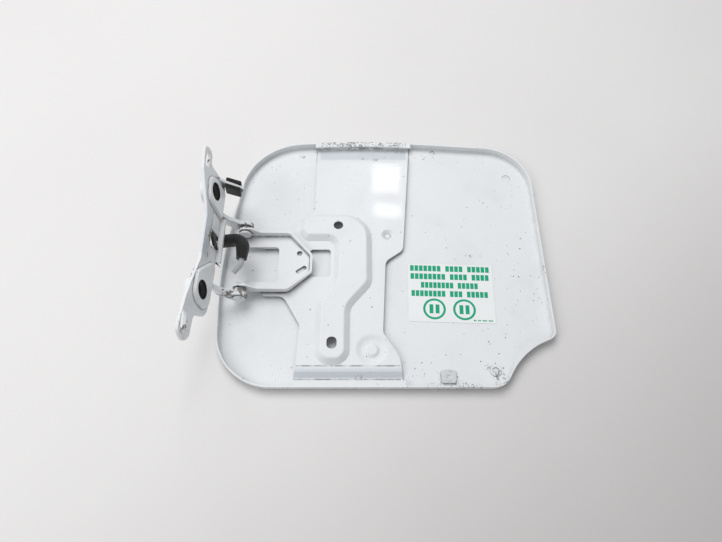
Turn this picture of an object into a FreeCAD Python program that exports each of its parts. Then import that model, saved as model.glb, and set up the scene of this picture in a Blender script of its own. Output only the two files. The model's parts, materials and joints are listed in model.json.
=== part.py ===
"""Fuel filler flap of a car, fully open, lying on its outer face with its inside up.

Millimetres. The origin is the middle of the outer face. +X runs from the hinge to the free edge, +Y along
the hinge and +Z out of the inside of the flap. The bracket's own frame has its origin on the hinge axis.
"""
import FreeCAD, Part
import math
import os
import re
import Sketcher

SIZES = {
    # outer skin
    "skin_sheet": 0.8,
    "rim_height": 4.8,
    "skin_bend": 1.8,
    "flap_bottom": 71.0,
    "flap_right": 81.4,
    "flap_top": 71.7,
    "top_peak_x": -7.0,
    "top_bow": 400.0,
    "flap_left": 83.5,
    "left_peak_y": -10.0,
    "left_bow": 200.0,
    "lower_left_x": -79.5,
    "lower_left_round": 28.0,
    "upper_left_x": -73.0,
    "upper_left_drop": 3.2,
    "upper_left_round": 34.0,
    "upper_right_drop": 6.5,
    "upper_right_round": 26.0,
    "notch_x": 54.5,
    "notch_start_round": 9.0,
    "notch_start_angle": 61.0,
    "notch_start_length": 20.5,
    "notch_end_angle": 21.0,
    "notch_tip_round": 5.0,
    "hem_width": 3.2,
    "notch_hem_width": 2.9,
    "bottom_hem_left": -43.4,
    "bottom_hem_right": 8.8,
    "top_hem_left": -37.5,
    "top_hem_right": 16.2,
    "boss_x": 51.4,
    "boss_y": -62.2,
    "boss_radius": 2.6,
    "boss_height": 0.5,
    "boss_wall": 0.9,
    "dimple_x": 69.1,
    "dimple_y": 48.3,
    "dimple_radius": 2.2,
    "dimple_depth": 0.3,
    # reinforcement plate
    "plate_sheet": 0.8,
    "plate_gap": 1.5,
    "plate_bend": 1.2,
    "plate_top": 68.4,
    "plate_groove": 3.0,
    "bottom_slope": 2.5,
    "top_slope": 6.0,
    "plate_waist_x": -1.2,
    "plate_waist_low_y": -44.0,
    "plate_waist_high_y": -5.0,
    "plate_shoulder_x": 9.9,
    "plate_shoulder_y": 1.5,
    "plate_foot_x": 6.6,
    "plate_foot_y": -56.0,
    "plate_foot_round": 12.0,
    "plate_round": 5.0,
    "plate_left_y": 25.0,
    "plate_neck_x": -47.5,
    "plate_neck_y": 14.0,
    "plate_tongue": 62.0,
    "plate_tongue_low": 1.6,
    "plate_tongue_high": 2.0,
    "plate_hip_x": -50.5,
    "plate_hip_low_x": -41.6,
    "plate_hip_low_y": -40.0,
    "rib_height": 2.8,
    "rib_taper": 45.0,
    "rib_left": -44.5,
    "rib_left_y": 12.0,
    "rib_top": 22.8,
    "rib_top_left": -41.5,
    "rib_right": -6.2,
    "rib_right_low": -18.5,
    "rib_leg_right": -17.2,
    "rib_leg_right_y": -31.5,
    "rib_bottom": -60.0,
    "rib_leg_left": -33.7,
    "rib_leg_left_y": -29.0,
    "rib_inner_x": -25.4,
    "rib_inner_low": -15.0,
    "rib_inner_high": 6.8,
    "rib_inner_left": -40.5,
    "rib_big_round": 15.0,
    "rib_mid_round": 8.0,
    "rib_crest_round": 0.8,
    "rib_edge_round": 1.4,
    "rib_hole_x": -23.6,
    "rib_hole_y": 14.8,
    "rib_hole_radius": 2.5,
    "leg_hole_x": -25.7,
    "leg_hole_y": -49.9,
    "leg_hole_length": 6.0,
    "leg_hole_width": 4.8,
    "window_left": -38.0,
    "window_right": -27.4,
    "window_low": -14.0,
    "window_high": 1.8,
    "window_round": 1.5,
    "dish_x": -6.6,
    "dish_y": -52.4,
    "dish_radius": 8.2,
    "dish_floor": 4.6,
    "dish_dome": 1.0,
    "spot_x": 2.2,
    "spot_y": 10.5,
    "spot_radius": 3.3,
    "spot_floor": 1.6,
    # hinge arm
    "arm_sheet": 1.2,
    "arm_middle": -6.5,
    "arm_width": 33.0,
    "arm_tip": -36.4,
    "arm_tip_middle": -7.6,
    "arm_tip_width": 10.0,
    "arm_shoulder": -48.0,
    "arm_round": 3.0,
    "arm_tip_lip": 1.5,
    "arm_wall": 4.6,
    "arm_gap_right": -53.8,
    "arm_gap_low": -17.5,
    "arm_gap_high": 2.5,
    "arm_gap_round": 2.0,
    "arm_heel": -64.0,
    "arm_hole_x": -43.2,
    "arm_hole_y": -1.2,
    "arm_hole_radius": 1.4,
    "arm_slot_x": -42.0,
    "arm_slot_y": -10.6,
    "arm_slot_length": 6.0,
    "arm_slot_width": 2.4,
    "arm_slot_angle": 35.0,
    # hinge
    "pivot_x": -71.0,
    "pivot_z": 8.2,
    "pin_radius": 2.0,
    "pin_run": 0.05,
    "pin_seat": 0.02,
    "pin_head_radius": 3.1,
    "pin_head": 1.5,
    "pin_tail_radius": 2.9,
    "pin_tail": 1.2,
    "hinge_gap": 0.4,
    "open_lean": 10.0,
    "arm_ear_radius": 3.6,
    # hinge bracket
    "bracket_sheet": 1.6,
    "bracket_face": 8.5,
    "bracket_low": 12.0,
    "bracket_top": 27.0,
    "upper_lobe_end": 30.5,
    "upper_ear_end": 37.6,
    "upper_ear_low": 30.4,
    "upper_ear_top": 38.8,
    "upper_rise": 4.5,
    "upper_rise_top": 24.0,
    "lower_rise": -20.0,
    "lower_rise_top": -41.0,
    "lower_ear_end": -61.2,
    "lower_ear_low": 27.2,
    "lower_ear_top": 38.0,
    "lower_ear_root": -47.0,
    "lower_lobe_end": -43.2,
    "lower_lobe_lift": 2.2,
    "bracket_round": 7.0,
    "bracket_ear_round": 3.6,
    "bolt_radius": 4.4,
    "bolt_nut_radius": 6.2,
    "bolt_nut": 3.0,
    "seat_rise": 1.4,
    "seat_edge": 0.9,
    "seat_round": 6.0,
    "seat_half": 7.0,
    "seat_top": 31.0,
    "upper_seat_end": 8.8,
    "lower_seat_end": -12.6,
    "upper_bolt_y": 18.8,
    "lower_bolt_y": -33.9,
    "bolt_height": 23.8,
    "upper_ear_hole_y": 30.8,
    "lower_ear_hole_y": -52.0,
    "ear_hole_height": 34.0,
    "ear_hole_length": 8.8,
    "ear_hole_width": 4.0,
    "lip_reach": 2.0,
    "lip_bottom": 10.2,
    "lip_bend": 1.5,
    "lip_low_y": -14.0,
    "lip_high_y": 10.6,
    "spring_window_low": 14.0,
    "spring_window_height": 6.2,
    "spring_window_y": -8.2,
    "spring_window_length": 8.0,
    "hinge_ear_sheet": 2.2,
    "hinge_ear_radius": 3.8,
    "hinge_ear_root_low": 5.0,
    "hinge_ear_knee": 9.4,
    "hinge_ear_root_top": 17.0,
    "upper_collar": 1.0,
    "lower_collar": 2.4,
    "stop_tab_y": 28.7,
    "stop_tab_sheet": 1.6,
    "stop_tab_root_low": 14.1,
    "stop_tab_root_top": 21.1,
    "stop_tab_tip": 0.7,
    "stop_tab_tip_low": 7.2,
    "stop_tab_tip_height": 2.8,
    # spring, sleeve and buffer
    "wire_radius": 1.2,
    "wire_y": 0.8,
    "wire_bend": 5.0,
    "wire_run": 9.0,
    "wire_hook_bend": 2.0,
    "wire_hook_reach": 3.2,
    "wire_hook_drop": 4.2,
    "sleeve_radius": 3.3,
    "sleeve_run": 0.05,
    "sleeve_drop": 0.3,
    "sleeve_lead": 7.1,
    "sleeve_tail": 6.0,
    "sleeve_root_width": 2.6,
    "sleeve_plug_gap": 0.3,
    "buffer_wall": 2.2,
    "buffer_length": 6.4,
    "buffer_height": 6.4,
    "buffer_below": 2.2,
    "buffer_plate_gap": 0.3,
    "buffer_seat": 0.05,
    "buffer_round": 0.8,
    # label and pad
    "label_x": 33.3,
    "label_y": -21.9,
    "label_width": 43.0,
    "label_height": 32.0,
    "label_sheet": 0.15,
    "label_turn": 1.8,
    "label_round": 1.0,
    "pad_x": 29.1,
    "pad_width": 7.0,
    "pad_depth": 6.0,
    "pad_sheet": 1.0,
    "pad_round": 1.2,
    "pad_rim_gap": 1.0,
}

doc = FreeCAD.newDocument("fuel_filler_flap")
sheet = doc.addObject("Spreadsheet::Sheet", "Sizes")
for row, (alias, value) in enumerate(SIZES.items(), 1):
    sheet.set(f"A{row}", alias)
    sheet.set(f"B{row}", str(value))
    sheet.setAlias(f"B{row}", alias)
doc.recompute()


def bound(text):
    """An expression in which every size is read from the sheet."""
    return re.sub(r"[a-z_]+", lambda word: f"Sizes.{word[0]}" if word[0] in SIZES else word[0], text)


def value_of(text):
    return float(sheet.evalExpression(bound(text)))


def new_body(node):
    body = doc.addObject("PartDesign::Body", node)
    body.Label = node
    return body


def new_sketch(body, name, role="XY_Plane", height=None):
    """A sketch on one of the body's own planes, moved along that plane's normal by an expression."""
    sketch = body.newObject("Sketcher::SketchObject", name)
    plane = next(f for f in body.Origin.OriginFeatures if f.Role == role)
    sketch.AttachmentSupport = (plane, [""])
    sketch.MapMode = "FlatFace"
    if height:
        sketch.setExpression("AttachmentOffset.Base.z", bound(height))
    return sketch


def hold(sketch, kind, args, text):
    """Adds one dimension to the sketch and ties it to the sheet."""
    index = sketch.addConstraint(Sketcher.Constraint(kind, *args, value_of(text)))
    sketch.setExpression(f"Constraints[{index}]", bound(text))


def add_polygon(sketch, corners, closed=True):
    """Draws a line through corners (x, y, radius): expressions, with "" for a sharp corner or a loose end."""
    points = [FreeCAD.Vector(value_of(x), value_of(y), 0) for x, y, _ in corners]
    radii = [value_of(r) if r else 0.0 for _, _, r in corners]
    count = len(points)
    starts, ends, arcs = [], [], []
    for i, corner in enumerate(points):
        back = (points[i - 1] - corner).normalize()
        ahead = (points[(i + 1) % count] - corner).normalize()
        half = math.acos(max(-1.0, min(1.0, back.dot(ahead)))) / 2
        cut = radii[i] / math.tan(half)
        starts.append(corner + back * cut)
        ends.append(corner + ahead * cut)
        middle = corner + (back + ahead).normalize() * (radii[i] / math.sin(half))
        arcs.append((middle, back.cross(ahead).z < 0))
    lines = []
    for i in range(count if closed else count - 1):
        segment = Part.LineSegment(ends[i], starts[(i + 1) % count])
        lines.append(sketch.addGeometry(segment, False))
    for i, (x, y, r) in enumerate(corners):
        before, after = lines[i - 1], lines[i % len(lines)]
        if r:
            middle, left_turn = arcs[i]
            first, last = (starts[i], ends[i]) if left_turn else (ends[i], starts[i])
            angles = [math.atan2(p.y - middle.y, p.x - middle.x) for p in (first, last)]
            circle = Part.Circle(middle, FreeCAD.Vector(0, 0, 1), radii[i])
            arc = sketch.addGeometry(Part.ArcOfCircle(circle, *angles), False)
            enter, leave = (1, 2) if left_turn else (2, 1)
            sketch.addConstraint(Sketcher.Constraint("Tangent", before, 2, arc, enter))
            sketch.addConstraint(Sketcher.Constraint("Tangent", arc, leave, after, 1))
            hold(sketch, "Radius", (arc,), r)
            point = sketch.addGeometry(Part.Point(points[i]), True)
            sketch.addConstraint(Sketcher.Constraint("PointOnObject", point, 1, before))
            sketch.addConstraint(Sketcher.Constraint("PointOnObject", point, 1, after))
            place = (point, 1)
        elif closed or 0 < i < count - 1:
            sketch.addConstraint(Sketcher.Constraint("Coincident", before, 2, after, 1))
            place = (after, 1)
        else:
            place = (lines[0], 1) if i == 0 else (lines[-1], 2)
        hold(sketch, "DistanceX", (-1, 1, *place), x)
        hold(sketch, "DistanceY", (-1, 1, *place), y)
    return sketch


def add_circle(sketch, x, y, radius):
    circle = Part.Circle(FreeCAD.Vector(value_of(x), value_of(y), 0), FreeCAD.Vector(0, 0, 1), value_of(radius))
    index = sketch.addGeometry(circle, False)
    hold(sketch, "DistanceX", (-1, 1, index, 3), x)
    hold(sketch, "DistanceY", (-1, 1, index, 3), y)
    hold(sketch, "Radius", (index,), radius)
    return sketch


def box_corners(left, right, low, high, radius=""):
    return [(left, low, radius), (right, low, radius), (right, high, radius), (left, high, radius)]


def turned_box(x, y, length, width, angle, radius):
    """The corners of a box about a middle, turned anticlockwise by an angle."""
    corners = []
    for along, across in ((-1, -1), (1, -1), (1, 1), (-1, 1)):
        u, v = f"({along} * ({length}) / 2)", f"({across} * ({width}) / 2)"
        corners.append((f"{x} + {u} * cos({angle}) - {v} * sin({angle})",
                        f"{y} + {u} * sin({angle}) + {v} * cos({angle})", radius))
    return corners


def pad(body, sketch, length, reverse=False, taper=None):
    feature = body.newObject("PartDesign::Pad", sketch.Name + "_pad")
    feature.Profile = sketch
    feature.Reversed = reverse
    feature.setExpression("Length", bound(length))
    if taper:
        feature.setExpression("TaperAngle", bound(taper))
    doc.recompute()
    return feature


def pocket(body, sketch, length=None, reverse=False, taper=None):
    """Cuts a sketch to a depth, or right through both ways if no depth is given, and checks that it cut."""
    before = body.Shape.Volume
    feature = body.newObject("PartDesign::Pocket", sketch.Name + "_pocket")
    feature.Profile = sketch
    feature.Reversed = reverse
    if length:
        feature.setExpression("Length", bound(length))
    else:
        feature.Type = "ThroughAll"
        feature.SideType = "Symmetric"
    if taper:
        feature.setExpression("TaperAngle", bound(taper))
    doc.recompute()
    if body.Shape.Volume >= before:
        raise ValueError(f"{feature.Name} cut nothing")
    return feature


def round_edges(body, feature, chosen, radius):
    """Fillets the edges of a feature that pass the test."""
    names = [f"Edge{i}" for i, edge in enumerate(feature.Shape.Edges, 1) if chosen(edge)]
    fillet = body.newObject("PartDesign::Fillet", feature.Name + "_round")
    fillet.Base = (feature, names)
    fillet.setExpression("Radius", bound(radius))
    doc.recompute()
    return fillet


def level(edge, height):
    """True for an edge that lies wholly at one height."""
    box = edge.BoundBox
    return abs(box.ZMin - height) < 1e-4 and abs(box.ZMax - height) < 1e-4


def keep_inside(body, sketch, corners, reach):
    """Trims a body to an outline, seen along the sketch's normal: all that lies outside it is cut away."""
    add_polygon(sketch, box_corners(f"-{reach}", reach, f"-{reach}", reach))
    add_polygon(sketch, corners)
    return pocket(body, sketch)


# Outline of the flap, anticlockwise from the lower left, with the finger notch at the lower right
NOTCH_X2 = "(notch_x + notch_start_length * cos(notch_start_angle))"
NOTCH_Y2 = "(-flap_bottom + notch_start_length * sin(notch_start_angle))"
NOTCH_Y3 = f"({NOTCH_Y2} + (flap_right - {NOTCH_X2}) * tan(notch_end_angle))"
NOTCH_RUN = f"((flap_right - notch_tip_round * 0.75 - {NOTCH_X2}) / cos(notch_end_angle))"
NOTCH_ROUND = (f"(min(notch_start_length * 0.7, {NOTCH_RUN} * 0.97)"
               " / tan((notch_start_angle - notch_end_angle) / 2))")
FLAP_OUTLINE = [
    ("lower_left_x", "-flap_bottom", "lower_left_round"),
    ("notch_x", "-flap_bottom", "notch_start_round"),
    (NOTCH_X2, NOTCH_Y2, NOTCH_ROUND),
    ("flap_right", NOTCH_Y3, "notch_tip_round"),
    ("flap_right", "flap_top - upper_right_drop", "upper_right_round"),
    ("top_peak_x", "flap_top", "top_bow"),
    ("upper_left_x", "flap_top - upper_left_drop", "upper_left_round"),
    ("-flap_left", "left_peak_y", "left_bow"),
]
# Heights of the flap's layers
PLATE_LOW = "(skin_sheet + plate_gap)"
PLATE_TOP = f"({PLATE_LOW} + plate_sheet)"
ARM_TOP = f"({PLATE_TOP} + arm_sheet)"
HEM_LOW = "(rim_height - skin_sheet)"


def top_edge_y(x, left):
    """Height of the flap's straight top edge at x, on the left or the right of its peak."""
    end_x, drop = ("upper_left_x", "upper_left_drop") if left else ("flap_right", "upper_right_drop")
    return f"(flap_top - ({x} - top_peak_x) * {drop} / ({end_x} - top_peak_x))"


def notch_hem_corners():
    """The finger notch's hem: along the notch on the outside, and a hem's width inside it."""
    start, end = "notch_start_angle", "notch_end_angle"
    middle, half = f"(({start} + {end}) / 2)", f"(({start} - {end}) / 2)"
    inner_x = f"({NOTCH_X2} - notch_hem_width * sin({middle}) / cos({half}))"
    inner_y = f"({NOTCH_Y2} + notch_hem_width * cos({middle}) / cos({half}))"
    first = "(notch_start_length * 0.25)"
    tip = "(flap_right - notch_tip_round * 0.75)"
    tip_y = f"({NOTCH_Y2} + ({tip} - {NOTCH_X2}) * tan({end}))"
    return [
        (f"notch_x + {first} * cos({start})", f"-flap_bottom + {first} * sin({start})", ""),
        (NOTCH_X2, NOTCH_Y2, NOTCH_ROUND),
        (tip, tip_y, ""),
        (f"{tip} - notch_hem_width * sin({end})", f"{tip_y} + notch_hem_width * cos({end})", ""),
        (inner_x, inner_y, f"{NOTCH_ROUND} * 0.55"),
    ]


def outer_skin():
    """Pressed panel: a flat floor, a rim all round, hem tabs folded in over the plate and along the notch."""
    body = new_body("outer_skin")
    blank = pad(body, add_polygon(new_sketch(body, "skin_outline"), FLAP_OUTLINE), "rim_height")
    bend = round_edges(body, blank, lambda edge: level(edge, 0.0), "skin_bend")
    rim = value_of("rim_height")
    tops = [f"Face{i}" for i, face in enumerate(bend.Shape.Faces, 1) if level(face, rim)]
    shell = body.newObject("PartDesign::Thickness", "skin_shell")
    shell.Base = (bend, tops)
    shell.Reversed = True
    shell.setExpression("Value", bound("skin_sheet"))
    doc.recompute()
    bottom = new_sketch(body, "bottom_hem", height=HEM_LOW)
    add_polygon(bottom, box_corners("bottom_hem_left", "bottom_hem_right", "-flap_bottom",
                                    "-flap_bottom + hem_width"))
    pad(body, bottom, "skin_sheet")
    left, right = top_edge_y("top_hem_left", True), top_edge_y("top_hem_right", False)
    top = new_sketch(body, "top_hem", height=HEM_LOW)
    add_polygon(top, [
        ("top_hem_left", f"{left} - hem_width", ""),
        ("top_peak_x", "flap_top - hem_width", "top_bow - hem_width"),
        ("top_hem_right", f"{right} - hem_width", ""),
        ("top_hem_right", right, ""),
        ("top_peak_x", "flap_top", "top_bow"),
        ("top_hem_left", left, ""),
    ])
    pad(body, top, "skin_sheet")
    pad(body, add_polygon(new_sketch(body, "notch_hem", height=HEM_LOW), notch_hem_corners()), "skin_sheet")
    boss = new_sketch(body, "boss", height="skin_sheet")
    add_circle(boss, "boss_x", "boss_y", "boss_radius")
    add_circle(boss, "boss_x", "boss_y", "boss_radius - boss_wall")
    pad(body, boss, "boss_height")
    dimple = new_sketch(body, "dimple", height="skin_sheet")
    pocket(body, add_circle(dimple, "dimple_x", "dimple_y", "dimple_radius"), "dimple_depth")
    return body


def pressed_dish(body, name, x, y, radius, floor, dome):
    """A round dish pressed down into the plate until it meets the skin, with a low dome in its floor."""
    hole = new_sketch(body, name + "_hole")
    pocket(body, add_circle(hole, x, y, radius))
    section = new_sketch(body, name + "_section", "XZ_Plane", f"-({y})")
    section.setExpression("AttachmentOffset.Base.x", bound(x))
    floor_top = "(skin_sheet + plate_sheet)"
    add_polygon(section, [
        ("0", f"skin_sheet + {dome}", ""),
        (f"{floor} * 0.5", f"skin_sheet + {dome}", ""),
        (f"{floor} * 0.8", "skin_sheet", ""),
        (floor, "skin_sheet", ""),
        (radius, PLATE_LOW, ""),
        (radius, PLATE_TOP, ""),
        (floor, floor_top, ""),
        (f"{floor} * 0.8", floor_top, ""),
        (f"{floor} * 0.5", f"{floor_top} + {dome}", ""),
        ("0", f"{floor_top} + {dome}", ""),
    ])
    turn = body.newObject("PartDesign::Revolution", name)
    turn.Profile = section
    turn.ReferenceAxis = (section, ["V_Axis"])
    doc.recompute()


# The arm's two sides, on which the plate's tongue and the hinge ears are placed
ARM_LOW = "(arm_middle - arm_width / 2)"
ARM_HIGH = "(arm_middle + arm_width / 2)"
ARM_GAP = box_corners("pivot_x - pin_head_radius * 4", "arm_gap_right", "arm_gap_low", "arm_gap_high",
                      "arm_gap_round")


def slope_shift(run):
    """How far a bend line moves from one face of the plate to the other, on a slope with this run."""
    return f"(plate_sheet * tan(atan(plate_gap / {run}) / 2))"


def reinforcement_plate():
    """Pressed plate: it stands clear of the skin, comes down to it at both ends and turns up under the hems."""
    body = new_body("reinforcement_plate")
    low, high = "(skin_sheet - flap_bottom)", "plate_top"
    inner = "(skin_bend - plate_sheet)"
    floor_top = "(skin_sheet + plate_sheet)"
    low_foot, high_foot = f"({low} + skin_bend + plate_groove)", f"({high} - skin_bend - plate_groove)"
    low_shift, high_shift = slope_shift("bottom_slope"), slope_shift("top_slope")
    left = "(plate_tongue + 1)"
    section = new_sketch(body, "plate_section", "YZ_Plane", f"-{left}")
    add_polygon(section, [
        (low, HEM_LOW, ""),
        (low, "skin_sheet", "skin_bend"),
        (low_foot, "skin_sheet", "plate_bend"),
        (f"{low_foot} + bottom_slope", PLATE_LOW, ""),
        (f"{high_foot} - top_slope", PLATE_LOW, ""),
        (high_foot, "skin_sheet", "plate_bend"),
        (high, "skin_sheet", "skin_bend"),
        (high, HEM_LOW, ""),
        (f"{high} - plate_sheet", HEM_LOW, ""),
        (f"{high} - plate_sheet", floor_top, inner),
        (f"{high_foot} + {high_shift}", floor_top, ""),
        (f"{high_foot} - top_slope + {high_shift}", PLATE_TOP, "plate_bend"),
        (f"{low_foot} + bottom_slope - {low_shift}", PLATE_TOP, "plate_bend"),
        (f"{low_foot} - {low_shift}", floor_top, ""),
        (f"{low} + plate_sheet", floor_top, inner),
        (f"{low} + plate_sheet", HEM_LOW, ""),
    ])
    pad(body, section, f"{left} + flap_right")
    reach = "(flap_left + flap_right)"
    keep_inside(body, new_sketch(body, "plate_outline"), [
        ("bottom_hem_left", "-flap_bottom * 1.1", ""),
        ("bottom_hem_right", "-flap_bottom * 1.1", ""),
        ("plate_foot_x", "plate_foot_y", "plate_foot_round"),
        ("plate_waist_x", "plate_waist_low_y", "plate_round"),
        ("plate_waist_x + 2", "plate_waist_high_y", "plate_round"),
        ("plate_shoulder_x", "plate_shoulder_y", "plate_round"),
        ("top_hem_right", "flap_top * 1.1", ""),
        ("top_hem_left + 1", "flap_top * 1.1", ""),
        ("top_hem_left + 1", "plate_left_y", "plate_round"),
        ("plate_neck_x", "plate_neck_y", "plate_round"),
        ("-plate_tongue", f"{ARM_HIGH} + plate_tongue_high", "plate_round * 0.6"),
        ("-plate_tongue", f"{ARM_LOW} - plate_tongue_low", "plate_round * 0.6"),
        ("plate_hip_x", f"{ARM_LOW} - plate_tongue_low", "plate_round"),
        ("plate_hip_low_x", "plate_hip_low_y", "plate_round"),
    ], reach)
    crest = "(rib_height * tan(rib_taper) + rib_crest_round)"
    rib = [
        ("rib_left", "rib_left_y", crest),
        ("rib_inner_left", "rib_inner_high", crest),
        ("rib_inner_x", "rib_inner_high", "rib_mid_round * 0.5"),
        ("rib_inner_x", "rib_inner_low", "rib_mid_round * 0.5"),
        ("rib_leg_left", "rib_leg_left_y", "rib_mid_round"),
        ("rib_leg_left", "rib_bottom", "rib_mid_round * 0.9"),
        ("rib_leg_right", "rib_bottom", "rib_mid_round * 0.9"),
        ("rib_leg_right", "rib_leg_right_y", "rib_mid_round"),
        ("rib_right", "rib_right_low", "rib_mid_round"),
        ("rib_right", "rib_top", "rib_big_round"),
        ("rib_top_left", "rib_top", "rib_mid_round"),
    ]
    raised = add_polygon(new_sketch(body, "rib", height=PLATE_TOP), rib)
    pad(body, raised, "rib_height", taper="-rib_taper")
    hollow = add_polygon(new_sketch(body, "rib_hollow", height=PLATE_LOW), rib)
    pressed = pocket(body, hollow, "rib_height", reverse=True, taper="-rib_taper")
    crown = value_of(f"{PLATE_TOP} + rib_height")
    round_edges(body, pressed, lambda edge: level(edge, crown), "rib_edge_round")
    rib_hole = add_circle(new_sketch(body, "rib_hole"), "rib_hole_x", "rib_hole_y", "rib_hole_radius")
    pocket(body, rib_hole)
    leg_hole = new_sketch(body, "leg_hole")
    add_polygon(leg_hole, turned_box("leg_hole_x", "leg_hole_y", "leg_hole_width", "leg_hole_length", "0",
                                     "leg_hole_width * 0.45"))
    pocket(body, leg_hole)
    window = box_corners("window_left", "window_right", "window_low", "window_high", "window_round")
    pocket(body, add_polygon(new_sketch(body, "window"), window))
    pocket(body, add_polygon(new_sketch(body, "arm_gap"), ARM_GAP))
    pressed_dish(body, "dish", "dish_x", "dish_y", "dish_radius", "dish_floor", "dish_dome")
    pressed_dish(body, "spot", "spot_x", "spot_y", "spot_radius", "spot_floor", "(dish_dome * 0.2)")
    return body


def hinge_arm():
    """Forked arm: a tray on the plate whose upright edges become the two ears on the hinge axis."""
    body = new_body("hinge_arm")
    left = "(pivot_x - arm_ear_radius - 1)"
    ear_top = "(pivot_z + arm_ear_radius)"
    tip_low, tip_high = "arm_tip_middle - arm_tip_width / 2", "arm_tip_middle + arm_tip_width / 2"
    blank = pad(body, add_polygon(new_sketch(body, "arm_outline", height=PLATE_TOP), [
        (left, ARM_LOW, ""),
        ("arm_shoulder", ARM_LOW, "arm_round + 1"),
        ("arm_tip", tip_low, "arm_round"),
        ("arm_tip", tip_high, "arm_round"),
        ("arm_shoulder", ARM_HIGH, "arm_round + 1"),
        (left, ARM_HIGH, ""),
    ]), f"{ear_top} - {PLATE_TOP} + 1")
    seat, open_end = value_of(PLATE_TOP), value_of(left)
    bend = round_edges(body, blank, lambda edge: level(edge, seat) and edge.BoundBox.XMax > open_end + 1,
                       "arm_sheet * 1.5")
    open_faces = []
    for i, face in enumerate(bend.Shape.Faces, 1):
        at_top = abs(face.BoundBox.ZMin - bend.Shape.BoundBox.ZMax) < 1e-4
        if at_top or abs(face.BoundBox.XMax - open_end) < 1e-4:
            open_faces.append(f"Face{i}")
    tray = body.newObject("PartDesign::Thickness", "arm_tray")
    tray.Base = (bend, open_faces)
    tray.Reversed = True
    tray.setExpression("Value", bound("arm_sheet"))
    doc.recompute()
    side = new_sketch(body, "arm_side", "XZ_Plane")
    keep_inside(body, side, [
        ("arm_heel", PLATE_TOP, ""),
        ("arm_tip + 1", PLATE_TOP, ""),
        ("arm_tip + 1", f"{ARM_TOP} + arm_tip_lip", ""),
        ("arm_shoulder + 1", f"{PLATE_TOP} + arm_wall", "arm_round * 3"),
        ("pivot_x + arm_ear_radius * 2", f"{PLATE_TOP} + arm_wall + 0.6", "arm_round"),
        ("pivot_x + arm_ear_radius * 0.8", ear_top, "arm_round"),
        ("pivot_x - arm_ear_radius", ear_top, "arm_ear_radius * 0.9"),
        ("pivot_x - arm_ear_radius", "pivot_z - arm_ear_radius", "arm_ear_radius * 0.5"),
    ], "(flap_left + flap_right)")
    pivot = add_circle(new_sketch(body, "arm_pivot", "XZ_Plane"), "pivot_x", "pivot_z", "pin_radius + pin_run")
    pocket(body, pivot)
    pocket(body, add_polygon(new_sketch(body, "arm_window"), ARM_GAP))
    pocket(body, add_circle(new_sketch(body, "arm_hole"), "arm_hole_x", "arm_hole_y", "arm_hole_radius"))
    slot = turned_box("arm_slot_x", "arm_slot_y", "arm_slot_length", "arm_slot_width", "arm_slot_angle",
                      "arm_slot_width * 0.45")
    pocket(body, add_polygon(new_sketch(body, "arm_slot"), slot))
    return body


def new_bracket_body(node):
    """A body in the bracket's own frame: origin on the hinge axis, leaning back when the flap is open."""
    body = new_body(node)
    body.Placement = FreeCAD.Placement(FreeCAD.Vector(), FreeCAD.Rotation(FreeCAD.Vector(0, -1, 0), 1))
    body.setExpression("Placement.Base.x", bound("pivot_x"))
    body.setExpression("Placement.Base.z", bound("pivot_z"))
    body.setExpression("Placement.Rotation.Angle", bound("open_lean"))
    return body


def along_y(body, name, corners, low, high):
    """Pads an outline in the plane across the hinge, from one place along the hinge to another."""
    return pad(body, add_polygon(new_sketch(body, name, "XZ_Plane", f"-({high})"), corners),
               f"({high}) - ({low})")


BRACKET_BACK = "(bracket_face + bracket_sheet)"
BRACKET_CORE = "(bracket_face + bracket_sheet / 2)"
LIP_TOP = "(lip_bottom + bracket_sheet)"
SLEEVE_ROOT_LOW = "(wire_y - sleeve_root_width * 1.5)"
SLEEVE_ROOT_HIGH = "(wire_y - sleeve_root_width * 0.5)"
UPPER_EAR = f"({ARM_HIGH} + hinge_gap + upper_collar)"
LOWER_EAR = f"({ARM_LOW} - hinge_gap - lower_collar)"
# The stop tab runs down from the plate; its lower edge carries the buffer
TAB_SLOPE = f"((stop_tab_root_low - stop_tab_tip_low) / ({BRACKET_CORE} - stop_tab_tip))"

# The fields round the bolts are pressed forward out of the plate
SEAT_LOW = "bracket_low + seat_edge"
UPPER_SEAT = [
    ("upper_seat_end", SEAT_LOW, ""),
    ("upper_bolt_y + seat_half", SEAT_LOW, "seat_round * 0.5"),
    ("upper_bolt_y + seat_half", "seat_top + seat_edge", "seat_round * 0.9"),
    ("upper_bolt_y - seat_half - seat_edge", "seat_top - seat_edge * 2", "seat_round * 0.9"),
]
LOWER_SEAT = [
    ("lower_lobe_end + seat_edge", f"{SEAT_LOW} + lower_lobe_lift", "bracket_round * 0.9"),
    ("lower_seat_end", SEAT_LOW, "seat_round * 0.5"),
    ("lower_bolt_y + seat_half", "seat_top - seat_edge", "seat_round"),
    ("lower_bolt_y - seat_half", "seat_top", "seat_round"),
]


def tab_low_edge(u):
    """Height of the stop tab's lower edge at a place in front of the plate."""
    return f"(stop_tab_root_low - ({u} + {BRACKET_CORE}) * {TAB_SLOPE})"


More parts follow.
